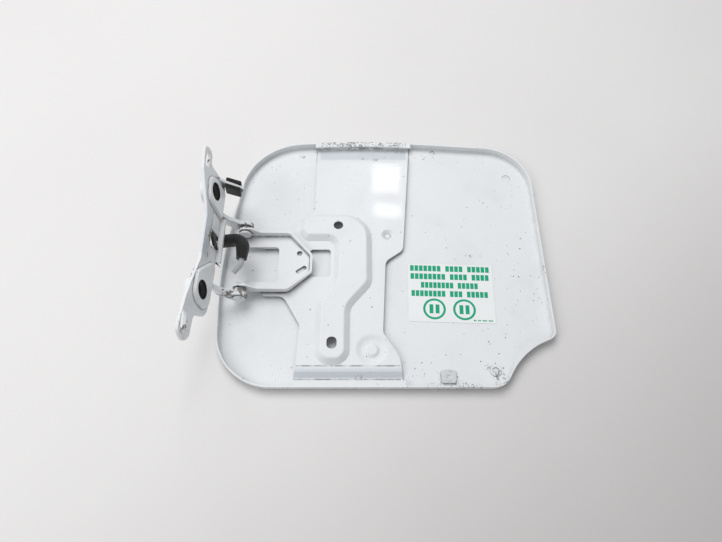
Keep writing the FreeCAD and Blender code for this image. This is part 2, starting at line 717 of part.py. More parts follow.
def hinge_bracket():
    """Bracket bolted to the car: a plate with two bolt seats, end ears, a lip, hinge ears and a stop tab."""
    body = new_bracket_body("hinge_bracket")
    plate = new_sketch(body, "bracket_outline", "YZ_Plane", f"-{BRACKET_BACK}")
    add_polygon(plate, [
        ("lower_lobe_end", "bracket_low + lower_lobe_lift", "bracket_round"),
        ("lip_low_y", "bracket_low", ""),
        ("upper_lobe_end", "bracket_low", "bracket_round * 0.6"),
        ("upper_lobe_end", "upper_ear_low - 0.4", "bracket_ear_round * 0.6"),
        ("upper_ear_end", "upper_ear_low", "bracket_ear_round * 0.8"),
        ("upper_ear_end - 0.6", "upper_ear_top", "bracket_ear_round"),
        ("upper_rise_top", "upper_ear_top - 2", "bracket_round"),
        ("upper_rise", "bracket_top", "bracket_round"),
        ("lower_rise", "bracket_top", "bracket_round"),
        ("lower_rise_top", "lower_ear_top - 3.2", "bracket_round"),
        ("lower_ear_end + 3.6", "lower_ear_top", "bracket_ear_round"),
        ("lower_ear_end", "lower_ear_low + 4", "bracket_ear_round"),
        ("lower_ear_end + 4", "lower_ear_low", "bracket_ear_round * 0.8"),
        ("lower_ear_root", "lower_ear_low - 1", "bracket_ear_round"),
    ])
    pad(body, plate, "bracket_sheet")
    along_y(body, "lip", [
        (f"-{BRACKET_BACK}", "bracket_low + bracket_sheet * 2", ""),
        (f"-{BRACKET_BACK}", "lip_bottom", "lip_bend + bracket_sheet"),
        ("lip_reach - bracket_face", "lip_bottom", ""),
        ("lip_reach - bracket_face", LIP_TOP, ""),
        ("-bracket_face", LIP_TOP, "lip_bend"),
        ("-bracket_face", "bracket_low + bracket_sheet * 2", ""),
    ], "lip_low_y", "lip_high_y")
    ear = [
        (f"-{BRACKET_CORE}", "hinge_ear_root_low", ""),
        ("-hinge_ear_radius * 0.8", "-hinge_ear_radius * 0.95", "hinge_ear_radius * 0.8"),
        ("hinge_ear_radius", "-hinge_ear_radius * 0.95", "hinge_ear_radius * 0.9"),
        ("hinge_ear_radius", "hinge_ear_radius", "hinge_ear_radius * 0.9"),
        ("-hinge_ear_radius * 0.3", "hinge_ear_radius * 1.12", "hinge_ear_radius * 0.8"),
        ("-bracket_face * 0.7", "hinge_ear_knee", "hinge_ear_radius * 0.5"),
        (f"-{BRACKET_CORE}", "hinge_ear_root_top", ""),
    ]
    along_y(body, "upper_hinge_ear", ear, UPPER_EAR, f"{UPPER_EAR} + hinge_ear_sheet")
    along_y(body, "lower_hinge_ear", ear, f"{LOWER_EAR} - hinge_ear_sheet", LOWER_EAR)
    along_y(body, "stop_tab", [
        (f"-{BRACKET_CORE}", "stop_tab_root_top", ""),
        (f"-{BRACKET_CORE}", "stop_tab_root_low", ""),
        ("-stop_tab_tip", "stop_tab_tip_low", "stop_tab_tip_height * 0.3"),
        ("stop_tab_tip_height * 0.6 - stop_tab_tip", "stop_tab_tip_low + stop_tab_tip_height",
         "stop_tab_tip_height * 0.3"),
        ("lip_reach - bracket_face", "stop_tab_root_top - bracket_sheet * 2.5", "bracket_ear_round"),
    ], "stop_tab_y", "stop_tab_y + stop_tab_sheet")
    for name, y, seat in (("upper", "upper_bolt_y", UPPER_SEAT), ("lower", "lower_bolt_y", LOWER_SEAT)):
        front = new_sketch(body, name + "_seat", "YZ_Plane", "-bracket_face")
        pad(body, add_polygon(front, seat), "seat_rise", taper="-30")
        back = new_sketch(body, name + "_seat_back", "YZ_Plane", f"-{BRACKET_BACK}")
        pocket(body, add_polygon(back, seat), "seat_rise", reverse=True, taper="-30")
        nut = new_sketch(body, name + "_nut", "YZ_Plane", f"-{BRACKET_BACK} - bolt_nut")
        pad(body, add_circle(nut, y, "bolt_height", "bolt_nut_radius"), "bolt_nut + seat_rise * 1.2")
        pocket(body, add_circle(new_sketch(body, name + "_bolt_hole", "YZ_Plane"), y, "bolt_height", "bolt_radius"))
    for name, y in (("upper", "upper_ear_hole_y"), ("lower", "lower_ear_hole_y")):
        hole = new_sketch(body, name + "_ear_hole", "YZ_Plane")
        add_polygon(hole, turned_box(y, "ear_hole_height", "ear_hole_length", "ear_hole_width", "0",
                                     "ear_hole_width * 0.45"))
        pocket(body, hole)
    window = new_sketch(body, "spring_window", "YZ_Plane", "-bracket_face + lip_reach")
    add_polygon(window, box_corners("spring_window_y", "spring_window_y + spring_window_length",
                                    "spring_window_low", "spring_window_low + spring_window_height", "lip_bend * 0.6"))
    pocket(body, window)
    slot = new_sketch(body, "sleeve_slot", height="-lip_bottom")
    add_polygon(slot, box_corners(f"-{BRACKET_BACK} - 1", "-bracket_face", SLEEVE_ROOT_LOW, SLEEVE_ROOT_HIGH))
    pocket(body, slot, "lip_bottom + spring_window_low + spring_window_height / 2", reverse=True)
    pivot = add_circle(new_sketch(body, "bracket_pivot", "XZ_Plane"), "0", "0", "pin_radius + pin_seat")
    pocket(body, pivot)
    return body


def hinge_pin(node, side, ear, arm_face):
    """Riveted pin: its head outside a bracket ear, a collar inside it and a spread end inside the arm's wall."""
    body = new_bracket_body(node)
    inside = f"({arm_face} - {side} * (arm_sheet + hinge_gap))"
    outside = f"({arm_face} + {side} * hinge_gap)"
    face = f"({ear} + {side} * hinge_ear_sheet)"
    section = new_sketch(body, node + "_section")
    add_polygon(section, [
        ("0", f"{inside} - {side} * pin_tail", ""),
        ("pin_tail_radius", f"{inside} - {side} * pin_tail", ""),
        ("pin_tail_radius", inside, ""),
        ("pin_radius", inside, ""),
        ("pin_radius", outside, ""),
        ("pin_tail_radius", outside, ""),
        ("pin_tail_radius", ear, ""),
        ("pin_radius", ear, ""),
        ("pin_radius", face, ""),
        ("pin_head_radius", face, ""),
        ("pin_head_radius", f"{face} + {side} * pin_head * 0.4", ""),
        ("pin_head_radius * 0.6", f"{face} + {side} * pin_head", ""),
        ("0", f"{face} + {side} * pin_head", ""),
    ])
    turn = body.newObject("PartDesign::Revolution", node + "_turn")
    turn.Profile = section
    turn.ReferenceAxis = (section, ["V_Axis"])
    doc.recompute()
    return body


# The sleeve hangs just under the lip, and its root goes up through the lip into the window
WIRE_HEIGHT = "(lip_bottom - sleeve_drop - sleeve_radius)"
WIRE_START = f"(-{BRACKET_BACK})"
BEND_X = f"({WIRE_START} + sleeve_lead)"
BEND_Y = "(wire_y - wire_bend)"
WIRE_REACH = f"({BEND_X} + wire_bend)"


def return_spring():
    """Bent wire in the sleeve, with a hooked end that shows."""
    body = new_bracket_body("return_spring")
    spine = new_sketch(body, "spring_path", height=WIRE_HEIGHT)
    add_polygon(spine, [
        (f"{WIRE_START} + wire_radius", "wire_y", ""),
        (WIRE_REACH, "wire_y", "wire_bend"),
        (WIRE_REACH, f"{BEND_Y} - wire_run", "wire_hook_bend"),
        (f"{WIRE_REACH} - wire_hook_reach", f"{BEND_Y} - wire_run - wire_hook_drop", ""),
    ], closed=False)
    profile = new_sketch(body, "spring_profile", "YZ_Plane", f"{WIRE_START} + wire_radius")
    add_circle(profile, "wire_y", WIRE_HEIGHT, "wire_radius")
    sweep = body.newObject("PartDesign::AdditivePipe", "spring_wire")
    sweep.Profile = profile
    sweep.Spine = (spine, [])
    doc.recompute()
    return body


def spring_sleeve():
    """Rubber sleeve: along the wire to its bend, round the bend and on, with a root that plugs the window."""
    body = new_bracket_body("spring_sleeve")
    entry = new_sketch(body, "sleeve_entry", "YZ_Plane", WIRE_START)
    corner = new_sketch(body, "sleeve_corner", "YZ_Plane", BEND_X)
    corner.setExpression("AttachmentOffset.Base.x", bound(BEND_Y))
    leaving = new_sketch(body, "sleeve_leaving", "XZ_Plane", f"-{BEND_Y}")
    for radius in ("sleeve_radius", "wire_radius + sleeve_run"):
        add_circle(entry, "wire_y", WIRE_HEIGHT, radius)
        add_circle(corner, "wire_bend", WIRE_HEIGHT, radius)
        add_circle(leaving, WIRE_REACH, WIRE_HEIGHT, radius)
    pad(body, entry, "sleeve_lead")
    turn = body.newObject("PartDesign::Revolution", "sleeve_bend")
    turn.Profile = corner
    turn.ReferenceAxis = (corner, ["V_Axis"])
    turn.Angle = 90
    turn.Reversed = True
    doc.recompute()
    pad(body, leaving, "sleeve_tail")
    plug = new_sketch(body, "sleeve_plug", "YZ_Plane", f"-{BRACKET_BACK}")
    gap = "sleeve_plug_gap"
    add_polygon(plug, [
        (f"{SLEEVE_ROOT_LOW} + {gap}", WIRE_HEIGHT, ""),
        (f"{SLEEVE_ROOT_HIGH} - {gap}", WIRE_HEIGHT, ""),
        (f"{SLEEVE_ROOT_HIGH} - {gap}", f"spring_window_low + spring_window_height - {gap}", ""),
        (f"spring_window_y + {gap}", f"spring_window_low + spring_window_height - {gap}", ""),
        (f"spring_window_y + {gap}", f"spring_window_low + {gap}", ""),
        (f"{SLEEVE_ROOT_LOW} + {gap}", f"spring_window_low + {gap}", ""),
    ])
    pad(body, plug, f"bracket_sheet - {gap}")
    return body


def stop_buffer():
    """Clip pushed up over the stop tab from below, open at its top and at both ends."""
    body = new_bracket_body("stop_buffer")
    low = "(stop_tab_y - buffer_wall)"
    high = "(stop_tab_y + stop_tab_sheet + buffer_wall)"
    left = "(buffer_plate_gap - bracket_face)"
    right = f"({left} + buffer_length)"
    along_y(body, "buffer_block", [
        (left, f"{tab_low_edge(left)} - buffer_below", "buffer_round"),
        (right, f"{tab_low_edge(right)} - buffer_below", "buffer_round"),
        (f"{right} + buffer_height * 0.25", f"{tab_low_edge(right)} - buffer_below + buffer_height", "buffer_round"),
        (f"{left} + buffer_height * 0.25", f"{tab_low_edge(left)} - buffer_below + buffer_height", "buffer_round"),
    ], low, high)
    slot = new_sketch(body, "buffer_slot", "XZ_Plane", "-(stop_tab_y + stop_tab_sheet + buffer_seat)")
    add_polygon(slot, [
        (f"-{BRACKET_BACK}", f"{tab_low_edge(f'-{BRACKET_BACK}')} - buffer_seat", ""),
        ("buffer_length", f"{tab_low_edge('buffer_length')} - buffer_seat", ""),
        ("buffer_length", "stop_tab_root_top * 2", ""),
        (f"-{BRACKET_BACK}", "stop_tab_root_top * 2", ""),
    ])
    pocket(body, slot, "stop_tab_sheet + buffer_seat * 2", reverse=True)
    return body


def fuel_label():
    body = new_body("fuel_label")
    outline = turned_box("label_x", "label_y", "label_width", "label_height", "-label_turn", "label_round")
    pad(body, add_polygon(new_sketch(body, "label_outline", height="skin_sheet"), outline), "label_sheet")
    return body


def edge_pad():
    body = new_body("edge_pad")
    low = "(skin_bend + pad_rim_gap - flap_bottom)"
    outline = box_corners("pad_x - pad_width / 2", "pad_x + pad_width / 2", low, f"{low} + pad_depth", "pad_round")
    pad(body, add_polygon(new_sketch(body, "pad_outline", height="skin_sheet"), outline), "pad_sheet")
    return body


nodes = [
    outer_skin(),
    reinforcement_plate(),
    hinge_arm(),
    hinge_bracket(),
    hinge_pin("upper_hinge_pin", 1, UPPER_EAR, ARM_HIGH),
    hinge_pin("lower_hinge_pin", -1, LOWER_EAR, ARM_LOW),
    return_spring(),
    spring_sleeve(),
    stop_buffer(),
    fuel_label(),
    edge_pad(),
]
doc.recompute()

for item in doc.Objects:
    if "Invalid" in item.State or "Error" in item.State:
        raise ValueError(f"{item.Name} did not rebuild")
os.makedirs("parts", exist_ok=True)
for node in nodes:
    if node.Shape.isNull() or not node.Shape.isValid() or len(node.Shape.Solids) != 1:
        raise ValueError(f"{node.Label} is not one sound solid")
    node.Shape.exportStep(f"parts/{node.Label}.step")
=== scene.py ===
import json
import math

import bmesh
import bpy
from bpy.props import FloatProperty, FloatVectorProperty, IntProperty, PointerProperty
from mathutils import Matrix, Vector


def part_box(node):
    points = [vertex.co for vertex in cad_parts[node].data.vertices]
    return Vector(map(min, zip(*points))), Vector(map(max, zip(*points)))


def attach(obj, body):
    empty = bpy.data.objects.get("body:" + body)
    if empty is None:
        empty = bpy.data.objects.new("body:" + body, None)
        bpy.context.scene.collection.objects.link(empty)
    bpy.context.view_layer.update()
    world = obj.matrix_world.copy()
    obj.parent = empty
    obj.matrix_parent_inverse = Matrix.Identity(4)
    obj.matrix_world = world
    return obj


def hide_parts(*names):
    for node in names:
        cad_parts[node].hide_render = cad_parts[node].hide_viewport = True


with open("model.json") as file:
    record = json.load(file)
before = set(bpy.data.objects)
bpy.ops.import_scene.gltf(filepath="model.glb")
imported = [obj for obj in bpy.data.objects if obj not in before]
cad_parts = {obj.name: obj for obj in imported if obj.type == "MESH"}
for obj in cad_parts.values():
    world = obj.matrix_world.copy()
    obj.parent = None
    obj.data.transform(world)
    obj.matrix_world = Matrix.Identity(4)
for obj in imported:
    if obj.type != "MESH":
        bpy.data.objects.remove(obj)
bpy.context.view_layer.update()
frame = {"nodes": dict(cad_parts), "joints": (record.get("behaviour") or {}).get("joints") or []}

bl_info = {
    "name": "Fuel filler flap",
    "version": (1, 0, 0),
    "blender": (4, 5, 0),
    "location": "3D View > Sidebar > Filler flap",
    "description": "Finishes a fuel filler flap: painted steel, rubber, label print and dirt",
    "category": "Object",
}

MM = 0.001
HINGE = Vector(frame["joints"][0]["pos_m"])
# the bracket leans back from upright by this much
OPEN_LEAN = math.radians(10.0)
BRACKET_TURN = Matrix.Rotation(-OPEN_LEAN, 3, "Y")
LABEL_TURN = math.radians(-1.8)


def bracket_point(u, y, w):
    """A place in the bracket's leaning frame, in millimetres from the hinge, in the part's frame."""
    return HINGE + BRACKET_TURN @ Vector((u, y, w)) * MM


# Settings -----------------------------------------------------------------------------------------

class FlapSizes(bpy.types.PropertyGroup):
    """Sizes of the finish that a user may change."""
    skin_edge: FloatProperty(name="Skin edge", description="Rounding of the outer skin's cut edges",
                             default=0.15 * MM, min=0.0, unit="LENGTH", precision=5)
    plate_edge: FloatProperty(name="Plate edge", description="Rounding of the inner plate's edges",
                              default=0.2 * MM, min=0.0, unit="LENGTH", precision=5)
    bracket_edge: FloatProperty(name="Bracket edge", description="Rounding of the hinge bracket's edges",
                                default=0.25 * MM, min=0.0, unit="LENGTH", precision=5)
    rubber_edge: FloatProperty(name="Rubber edge", description="Rounding of the rubber parts' edges",
                               default=0.5 * MM, min=0.0, unit="LENGTH", precision=5)
    sleeve_end: FloatProperty(name="Sleeve end",
                              description="Radius of the sleeve's free end as a share of its root",
                              default=0.78, min=0.5, max=1.0, subtype="FACTOR")
    hook_swell: FloatProperty(name="Hook swell", description="Thickening of the wire's free end",
                              default=0.45 * MM, min=0.0, unit="LENGTH", precision=5)
    print_rise: FloatProperty(name="Print rise", description="Height of the ink above the label",
                              default=0.03 * MM, min=0.0, unit="LENGTH", precision=5)
    block_height: FloatProperty(name="Block height", description="Height of the label's printed blocks",
                                default=3.2 * MM, min=0.0, unit="LENGTH", precision=5)
    ring_radius: FloatProperty(name="Ring radius", description="Outer radius of the label's printed rings",
                               default=5.6 * MM, min=0.0, unit="LENGTH", precision=5)
    speck_count: IntProperty(name="Specks", description="Number of dirt specks on the inside of the flap",
                             default=300, min=0)
    speck_size: FloatProperty(name="Speck size", description="Width of the largest dirt speck",
                              default=1.0 * MM, min=0.0, unit="LENGTH", precision=5)


def colour(name, description, default):
    """A colour that a user may change."""
    return FloatVectorProperty(name=name, description=description, default=default, subtype="COLOR", size=3,
                               min=0.0, max=1.0)


class FlapColours(bpy.types.PropertyGroup):
    """Colours of the finish that a user may change."""
    paint: colour("Paint", "White paint", (0.785, 0.805, 0.822))
    # also the base of the painted shade in inner corners
    dull_and_shaded_paint: colour("Dull paint", "White paint where it has gone dull", (0.7, 0.715, 0.73))
    # painted shade: blue-grey, for the sloped hems and the bracket's face
    shade_tint: colour("Stained paint", "White paint where water has stood", (0.55, 0.6, 0.66))
    # also the painted shade in hollows, inner corners and along folds
    grime_and_shade_tone: colour("Grime", "Dirt on the paint", (0.11, 0.1, 0.092))
    bare_steel: colour("Bare steel", "Steel where the paint has chipped", (0.3, 0.285, 0.275))
    rubber: colour("Rubber", "Black rubber", (0.013, 0.013, 0.014))
    wire: colour("Wire", "Spring steel", (0.5, 0.5, 0.51))
    film: colour("Label film", "White label film", (0.83, 0.85, 0.86))
    ink: colour("Ink", "Green ink on the label", (0.005, 0.36, 0.19))
    pad: colour("Pad", "Pale foam pad", (0.62, 0.64, 0.65))
    floor: colour("Floor", "Pale floor", (0.775, 0.765, 0.76))
    # painted shade: the floor darker towards one side
    shaded_floor: colour("Worn floor", "Pale floor where it is worn", (0.5, 0.485, 0.48))


# Meshes -------------------------------------------------------------------------------------------

# corners this close are one, and faces this flat are one
MERGE_GAP = 1e-6
FLAT_ANGLE = math.radians(0.2)
# the weight of large faces in the normals, of 100
STRONG_FACES = 100


def node_copy(node):
    """A merged working copy of a CAD node's mesh, with its flat faces made whole."""
    work = bmesh.new()
    work.from_mesh(frame["nodes"][node].data)
    bmesh.ops.remove_doubles(work, verts=work.verts, dist=MERGE_GAP)
    bmesh.ops.dissolve_limit(work, angle_limit=FLAT_ANGLE, verts=work.verts, edges=work.edges)
    return work


def plain_piece(work, name, smooth=False):
    """An object at the origin with the given mesh."""
    mesh = bpy.data.meshes.new(name)
    work.to_mesh(mesh)
    work.free()
    for face in mesh.polygons:
        face.use_smooth = smooth
    piece = bpy.data.objects.new(name, mesh)
    bpy.context.scene.collection.objects.link(piece)
    return piece


def made_plain(piece):
    """Turns a piece with modifiers into a piece with a plain mesh."""
    bpy.context.view_layer.update()
    seen = piece.evaluated_get(bpy.context.evaluated_depsgraph_get())
    mesh = bpy.data.meshes.new_from_object(seen)
    mesh.name = piece.name
    piece.modifiers.clear()
    piece.data = mesh
    return piece


def softened(work, name, width, corner=30.0, segments=2, clamped=True):
    """The mesh with its corners rounded by a bevel and its normals weighted by face area."""
    piece = plain_piece(work, name, smooth=True)
    bevel = piece.modifiers.new("edges", "BEVEL")
    bevel.width = width
    bevel.segments = segments
    bevel.limit_method = "ANGLE"
    bevel.angle_limit = math.radians(corner)
    bevel.use_clamp_overlap = clamped
    bevel.miter_outer = "MITER_ARC"
    weighted = piece.modifiers.new("normals", "WEIGHTED_NORMAL")
    weighted.weight = STRONG_FACES
    return made_plain(piece)


def crease_faces(piece, index, sharpness=1600.0):
    """Gives the narrow faces that round a piece's inner corners the material of the given index."""
    work = bmesh.new()
    work.from_mesh(piece.data)
    for face in work.faces:
        fold = sum(edge.calc_length() * edge.calc_face_angle_signed(0.0) for edge in face.edges)
        if fold < -sharpness * face.calc_area():
            piece.data.polygons[face.index].material_index = index
    work.free()


def dress(piece, body, slot, *materials):
    """Gives a piece its materials and its body; the slot is not used."""
    if not piece.data.polygons:
        raise RuntimeError(f"{piece.name} has no faces")
    piece.data.materials.clear()
    for material in materials:
        piece.data.materials.append(material)
    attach(piece, body)


# Shader nodes -------------------------------------------------------------------------------------

# the share of a spot's radius inside which it is at its full
SPOT_CORE = 0.35


def add(tree, kind, inputs=None, **settings):
    """Adds a node, sets its options and fills its inputs with values or links."""
    node = tree.nodes.new(kind)
    for key, value in settings.items():
        setattr(node, key, value)
    for key, value in (inputs or {}).items():
        if isinstance(value, bpy.types.NodeSocket):
            tree.links.new(value, node.inputs[key])
        else:
            node.inputs[key].default_value = value
    return node


def new_material(name):
    """A material with a bare node tree, that tree, and the shaded point's place on the piece."""
    material = bpy.data.materials.new(name)
    material.use_nodes = True
    tree = material.node_tree
    tree.nodes.clear()
    return material, tree, add(tree, "ShaderNodeTexCoord").outputs["Object"]


def noise(tree, at, scale, detail=3.0, rough=0.5):
    return add(tree, "ShaderNodeTexNoise", {"Vector": at, "Scale": scale, "Detail": detail,
                                            "Roughness": rough}).outputs["Fac"]


def ramp(tree, value, low, high, start=0.0, end=1.0, smooth=True):
    """Maps low..high to start..end and holds the ends."""
    node = add(tree, "ShaderNodeMapRange", {"Value": value, "From Min": low, "From Max": high,
                                            "To Min": start, "To Max": end})
    node.interpolation_type = "SMOOTHSTEP" if smooth else "LINEAR"
    return node.outputs["Result"]


def maths(tree, operation, first, second):
    return add(tree, "ShaderNodeMath", {0: first, 1: second}, operation=operation).outputs[0]


def times(tree, first, second):
    return maths(tree, "MULTIPLY", first, second)


def plus(tree, first, second):
    return maths(tree, "ADD", first, second)


def most(tree, first, second):
    return maths(tree, "MAXIMUM", first, second)


def mixed(tree, share, first, second):
    """The first colour, with the given share of the second."""
    node = add(tree, "ShaderNodeMix", {"Factor": share}, data_type="RGBA")
    for socket, value in ((node.inputs[6], first), (node.inputs[7], second)):
        if isinstance(value, bpy.types.NodeSocket):
            tree.links.new(value, socket)
        else:
            socket.default_value = (*value, 1.0)
    return node.outputs[2]


def bump(tree, height, distance, after=None):
    """A normal bent by the height, on top of another bump where one is given."""
    inputs = {"Height": height, "Distance": distance, "Strength": 1.0}
    if after is not None:
        inputs["Normal"] = after
    return add(tree, "ShaderNodeBump", inputs).outputs["Normal"]


def near(tree, at, spots):
    """1 at the middle of any of the spots (place, radius), falling to 0 at its edge."""
    total = None
    for spot, radius in spots:
        gap = add(tree, "ShaderNodeVectorMath", {0: at, 1: spot}, operation="DISTANCE").outputs["Value"]
        share = ramp(tree, gap, radius, radius * SPOT_CORE)
        total = share if total is None else most(tree, total, share)
    return total


def band(tree, at, low, high, fade):
    """1 inside a box, falling to 0 over the fade outside it."""
    axes = add(tree, "ShaderNodeSeparateXYZ", {"Vector": at})
    total = None
    for axis, (start, end) in enumerate(zip(low, high)):
        value = axes.outputs[axis]
        inside = times(tree, ramp(tree, value, start - fade, start), ramp(tree, value, end + fade, end))
        total = inside if total is None else times(tree, total, inside)
    return total


def surface(tree, inputs):
    """Ends a material with its shader."""
    shader = add(tree, "ShaderNodeBsdfPrincipled", inputs)
    add(tree, "ShaderNodeOutputMaterial", {"Surface": shader.outputs["BSDF"]})


# Materials ----------------------------------------------------------------------------------------

# the white paint's own surface
PEEL_DEPTH = 0.004 * MM
WAVE_DEPTH = 0.05 * MM
COAT = 0.5
CHIPPED_COAT = 0.25
# marks on the white paint, dirt and painted shade: how far they fade out, and how strong they are
SHADE_FADE = 2.0 * MM
SHADE_SHARE = 0.7
GRIME_FADE = 1.0 * MM
GRIME_SHARE = 0.75
SPOT_STRENGTH = 0.16
BLOTCH_STRENGTH = 0.3
LINE_FADE = 0.3 * MM
HOLLOW_REACH = 2.0 * MM
CHIP_STRENGTH = 0.24
CHIP_DEPTH = 0.08 * MM
DOT_SHARE = 0.65
# second colours of the finishes
RUBBER_BLOOM = (0.09, 0.088, 0.085)
THREAD_ROOT = (0.008, 0.008, 0.009)
THREAD_CREST = (0.03, 0.028, 0.026)
THIN_INK = (0.06, 0.48, 0.31)
FOAM_SMUDGE = (0.36, 0.35, 0.34)
DRY_DIRT = (0.11, 0.105, 0.1)
# the way across the floor in which it gets darker, as painted shade
SHADE_WAY = (0.55, -0.83, 0.0)


def dirt_dots(tree, at, dirt):
    """Fine dirt: small dots in a loose scatter, closer in patches."""
    cells = add(tree, "ShaderNodeTexVoronoi", {"Vector": at, "Scale": 420.0, "Randomness": 1.0})
    dots = ramp(tree, cells.outputs["Distance"], 0.16, 0.08)
    chosen = add(tree, "ShaderNodeSeparateColor", {"Color": cells.outputs["Color"]}).outputs["Red"]
    patches = ramp(tree, noise(tree, at, 16.0, 2.0), 0.42, 0.62, 0.0, 0.22 * dirt)
    kept = ramp(tree, plus(tree, chosen, patches), 0.97, 1.0)
    return times(tree, times(tree, dots, kept), DOT_SHARE)


def speckles_and_shade_lines(tree, at, grain, soil_and_shade, spots, boxes, lines):
    """The dirt and shade with more added: speckled grime in spots and boxes, and broken dark lines of painted
    shade, with grime on the rim's edge.
    """
    blotch = noise(tree, at, 260.0, 3.0, 0.6)
    places = [(near(tree, at, spots), SPOT_STRENGTH)] if spots else []
    places += [(band(tree, at, low, high, GRIME_FADE), strength) for low, high, strength in boxes]
    for where, strength in places:
        pull = plus(tree, times(tree, where, strength), times(tree, blotch, BLOTCH_STRENGTH))
        heavy = times(tree, ramp(tree, plus(tree, grain, pull), 0.82, 0.9), where)
        soil_and_shade = most(tree, soil_and_shade, times(tree, heavy, GRIME_SHARE))
    # painted shade: broken dark lines along folds and hem steps, and painted shadow with grime on the rim's
    # edge
    for low, high in lines:
        broken = ramp(tree, blotch, 0.35, 0.65, 0.1, 0.7)
        soil_and_shade = most(tree, soil_and_shade, times(tree, band(tree, at, low, high, LINE_FADE), broken))
    return soil_and_shade


def hollow_shade(tree, at):
    """Painted shade where faces close round a point, as beside a rivet: darker by the ambient occlusion,
    broken into patches.
    """
    hollow = add(tree, "ShaderNodeAmbientOcclusion", {"Distance": HOLLOW_REACH}, samples=8).outputs["AO"]
    patchy = ramp(tree, noise(tree, at, 210.0), 0.3, 0.6, 0.4, 0.85)
    return times(tree, ramp(tree, hollow, 0.84, 0.5), patchy)


def white_paint(name, colours, dirt_spots=(), chip_spots=(), dirt=1.0, grimy_bands=(), painted_shade_lines=(),
                painted_shade_bands=()):
    """White car paint: orange peel, dull patches, dirt, grime and chipped places, with painted shade in
    bands, lines and hollows.
    """
    material, tree, at = new_material(name)
    cloud = noise(tree, at, 38.0, 5.0, 0.6)
    dull = ramp(tree, cloud, 0.45, 0.75, 0.0, 0.5)
    base = mixed(tree, dull, tuple(colours.paint), tuple(colours.dull_and_shaded_paint))
    # painted shade: blue-grey bands on sloped hems and the bracket's face
    for low, high in painted_shade_bands:
        shade_tint = times(tree, band(tree, at, low, high, SHADE_FADE), SHADE_SHARE)
        base = mixed(tree, shade_tint, base, tuple(colours.shade_tint))
    grain = noise(tree, at, 950.0, 4.0, 0.7)
    soil_and_shade = dirt_dots(tree, at, dirt)
    if dirt_spots or grimy_bands or painted_shade_lines:
        soil_and_shade = speckles_and_shade_lines(tree, at, grain, soil_and_shade, dirt_spots, grimy_bands, painted_shade_lines)
    # painted shade in hollows joins the dirt
    soil_and_shade = most(tree, soil_and_shade, hollow_shade(tree, at))
    base = mixed(tree, soil_and_shade, base, tuple(colours.grime_and_shade_tone))
    rough = plus(tree, ramp(tree, cloud, 0.3, 0.8, 0.24, 0.4), times(tree, soil_and_shade, 0.3))
    peel = bump(tree, noise(tree, at, 700.0, 1.0), PEEL_DEPTH)
    waves = bump(tree, noise(tree, at, 55.0, 2.0), WAVE_DEPTH, peel)
    coat = COAT
    if chip_spots:
        flakes = noise(tree, at, 480.0, 3.0, 0.65)
        worn = times(tree, near(tree, at, chip_spots), CHIP_STRENGTH)
        chips = ramp(tree, plus(tree, flakes, worn), 0.72, 0.76)
        steel = mixed(tree, grain, tuple(colours.bare_steel), tuple(colours.grime_and_shade_tone))
        base = mixed(tree, chips, base, steel)
        rough = plus(tree, rough, times(tree, chips, 0.3))
        waves = bump(tree, maths(tree, "SUBTRACT", 1.0, chips), CHIP_DEPTH, waves)
        coat = CHIPPED_COAT
    surface(tree, {"Base Color": base, "Roughness": rough, "Normal": waves, "Coat Weight": coat,
                   "Coat Roughness": 0.06})
    return material


def crease_shade_and_dirt(name, colours, share=1.0):
    """Paint in an inner corner, darkened as painted shade, with dirt settled along it."""
    material, tree, at = new_material(name)
    shade_and_settled_dirt = ramp(tree, noise(tree, at, 300.0, 4.0, 0.6), 0.3, 0.65, 0.25 * share, 0.8 * share)
    base = mixed(tree, shade_and_settled_dirt, tuple(colours.dull_and_shaded_paint), tuple(colours.grime_and_shade_tone))
    surface(tree, {"Base Color": base, "Roughness": ramp(tree, shade_and_settled_dirt, 0.0, 0.8, 0.35, 0.8),
                   "Normal": bump(tree, noise(tree, at, 1200.0), 0.02 * MM)})
    return material


def black_rubber(name, colours):
    """Moulded rubber with a dusty bloom and fine pores."""
    material, tree, at = new_material(name)
    bloom = ramp(tree, noise(tree, at, 260.0, 4.0, 0.65), 0.5, 0.78, 0.0, 0.35)
    base = mixed(tree, bloom, tuple(colours.rubber), RUBBER_BLOOM)
    pores = noise(tree, at, 1800.0, 2.0)
    rough = ramp(tree, bloom, 0.0, 0.35, 0.42, 0.7)
    surface(tree, {"Base Color": base, "Roughness": rough, "Normal": bump(tree, pores, 0.03 * MM)})
    return material


def spring_steel(name, colours):
    """Drawn wire: pale grey with fine lines and dull spots."""
    material, tree, at = new_material(name)
    spots = ramp(tree, noise(tree, at, 520.0, 4.0, 0.7), 0.55, 0.72, 0.0, 0.75)
    base = mixed(tree, spots, tuple(colours.wire), tuple(colours.bare_steel))
    drawn = add(tree, "ShaderNodeMapping", {"Vector": at, "Scale": (2600.0, 160.0, 2600.0)}).outputs[0]
    lines = noise(tree, drawn, 1.0, 2.0)
    surface(tree, {"Base Color": base, "Roughness": ramp(tree, spots, 0.0, 0.75, 0.34, 0.62),
                   "Metallic": 0.35, "Normal": bump(tree, lines, 0.01 * MM)})
    return material


def nut_thread(name):
    """Dark thread inside the bolt holes: rings along the bolt."""
    material, tree, at = new_material(name)
    turned = add(tree, "ShaderNodeMapping", {"Vector": at, "Rotation": (0.0, OPEN_LEAN, 0.0)}).outputs[0]
    rings = add(tree, "ShaderNodeTexWave", {"Vector": turned, "Scale": 128.0, "Distortion": 0.4})
    base = mixed(tree, rings.outputs["Fac"], THREAD_ROOT, THREAD_CREST)
    surface(tree, {"Base Color": base, "Roughness": ramp(tree, noise(tree, at, 600.0), 0.3, 0.7, 0.4, 0.6),
                   "Normal": bump(tree, rings.outputs["Fac"], 0.25 * MM)})
    return material


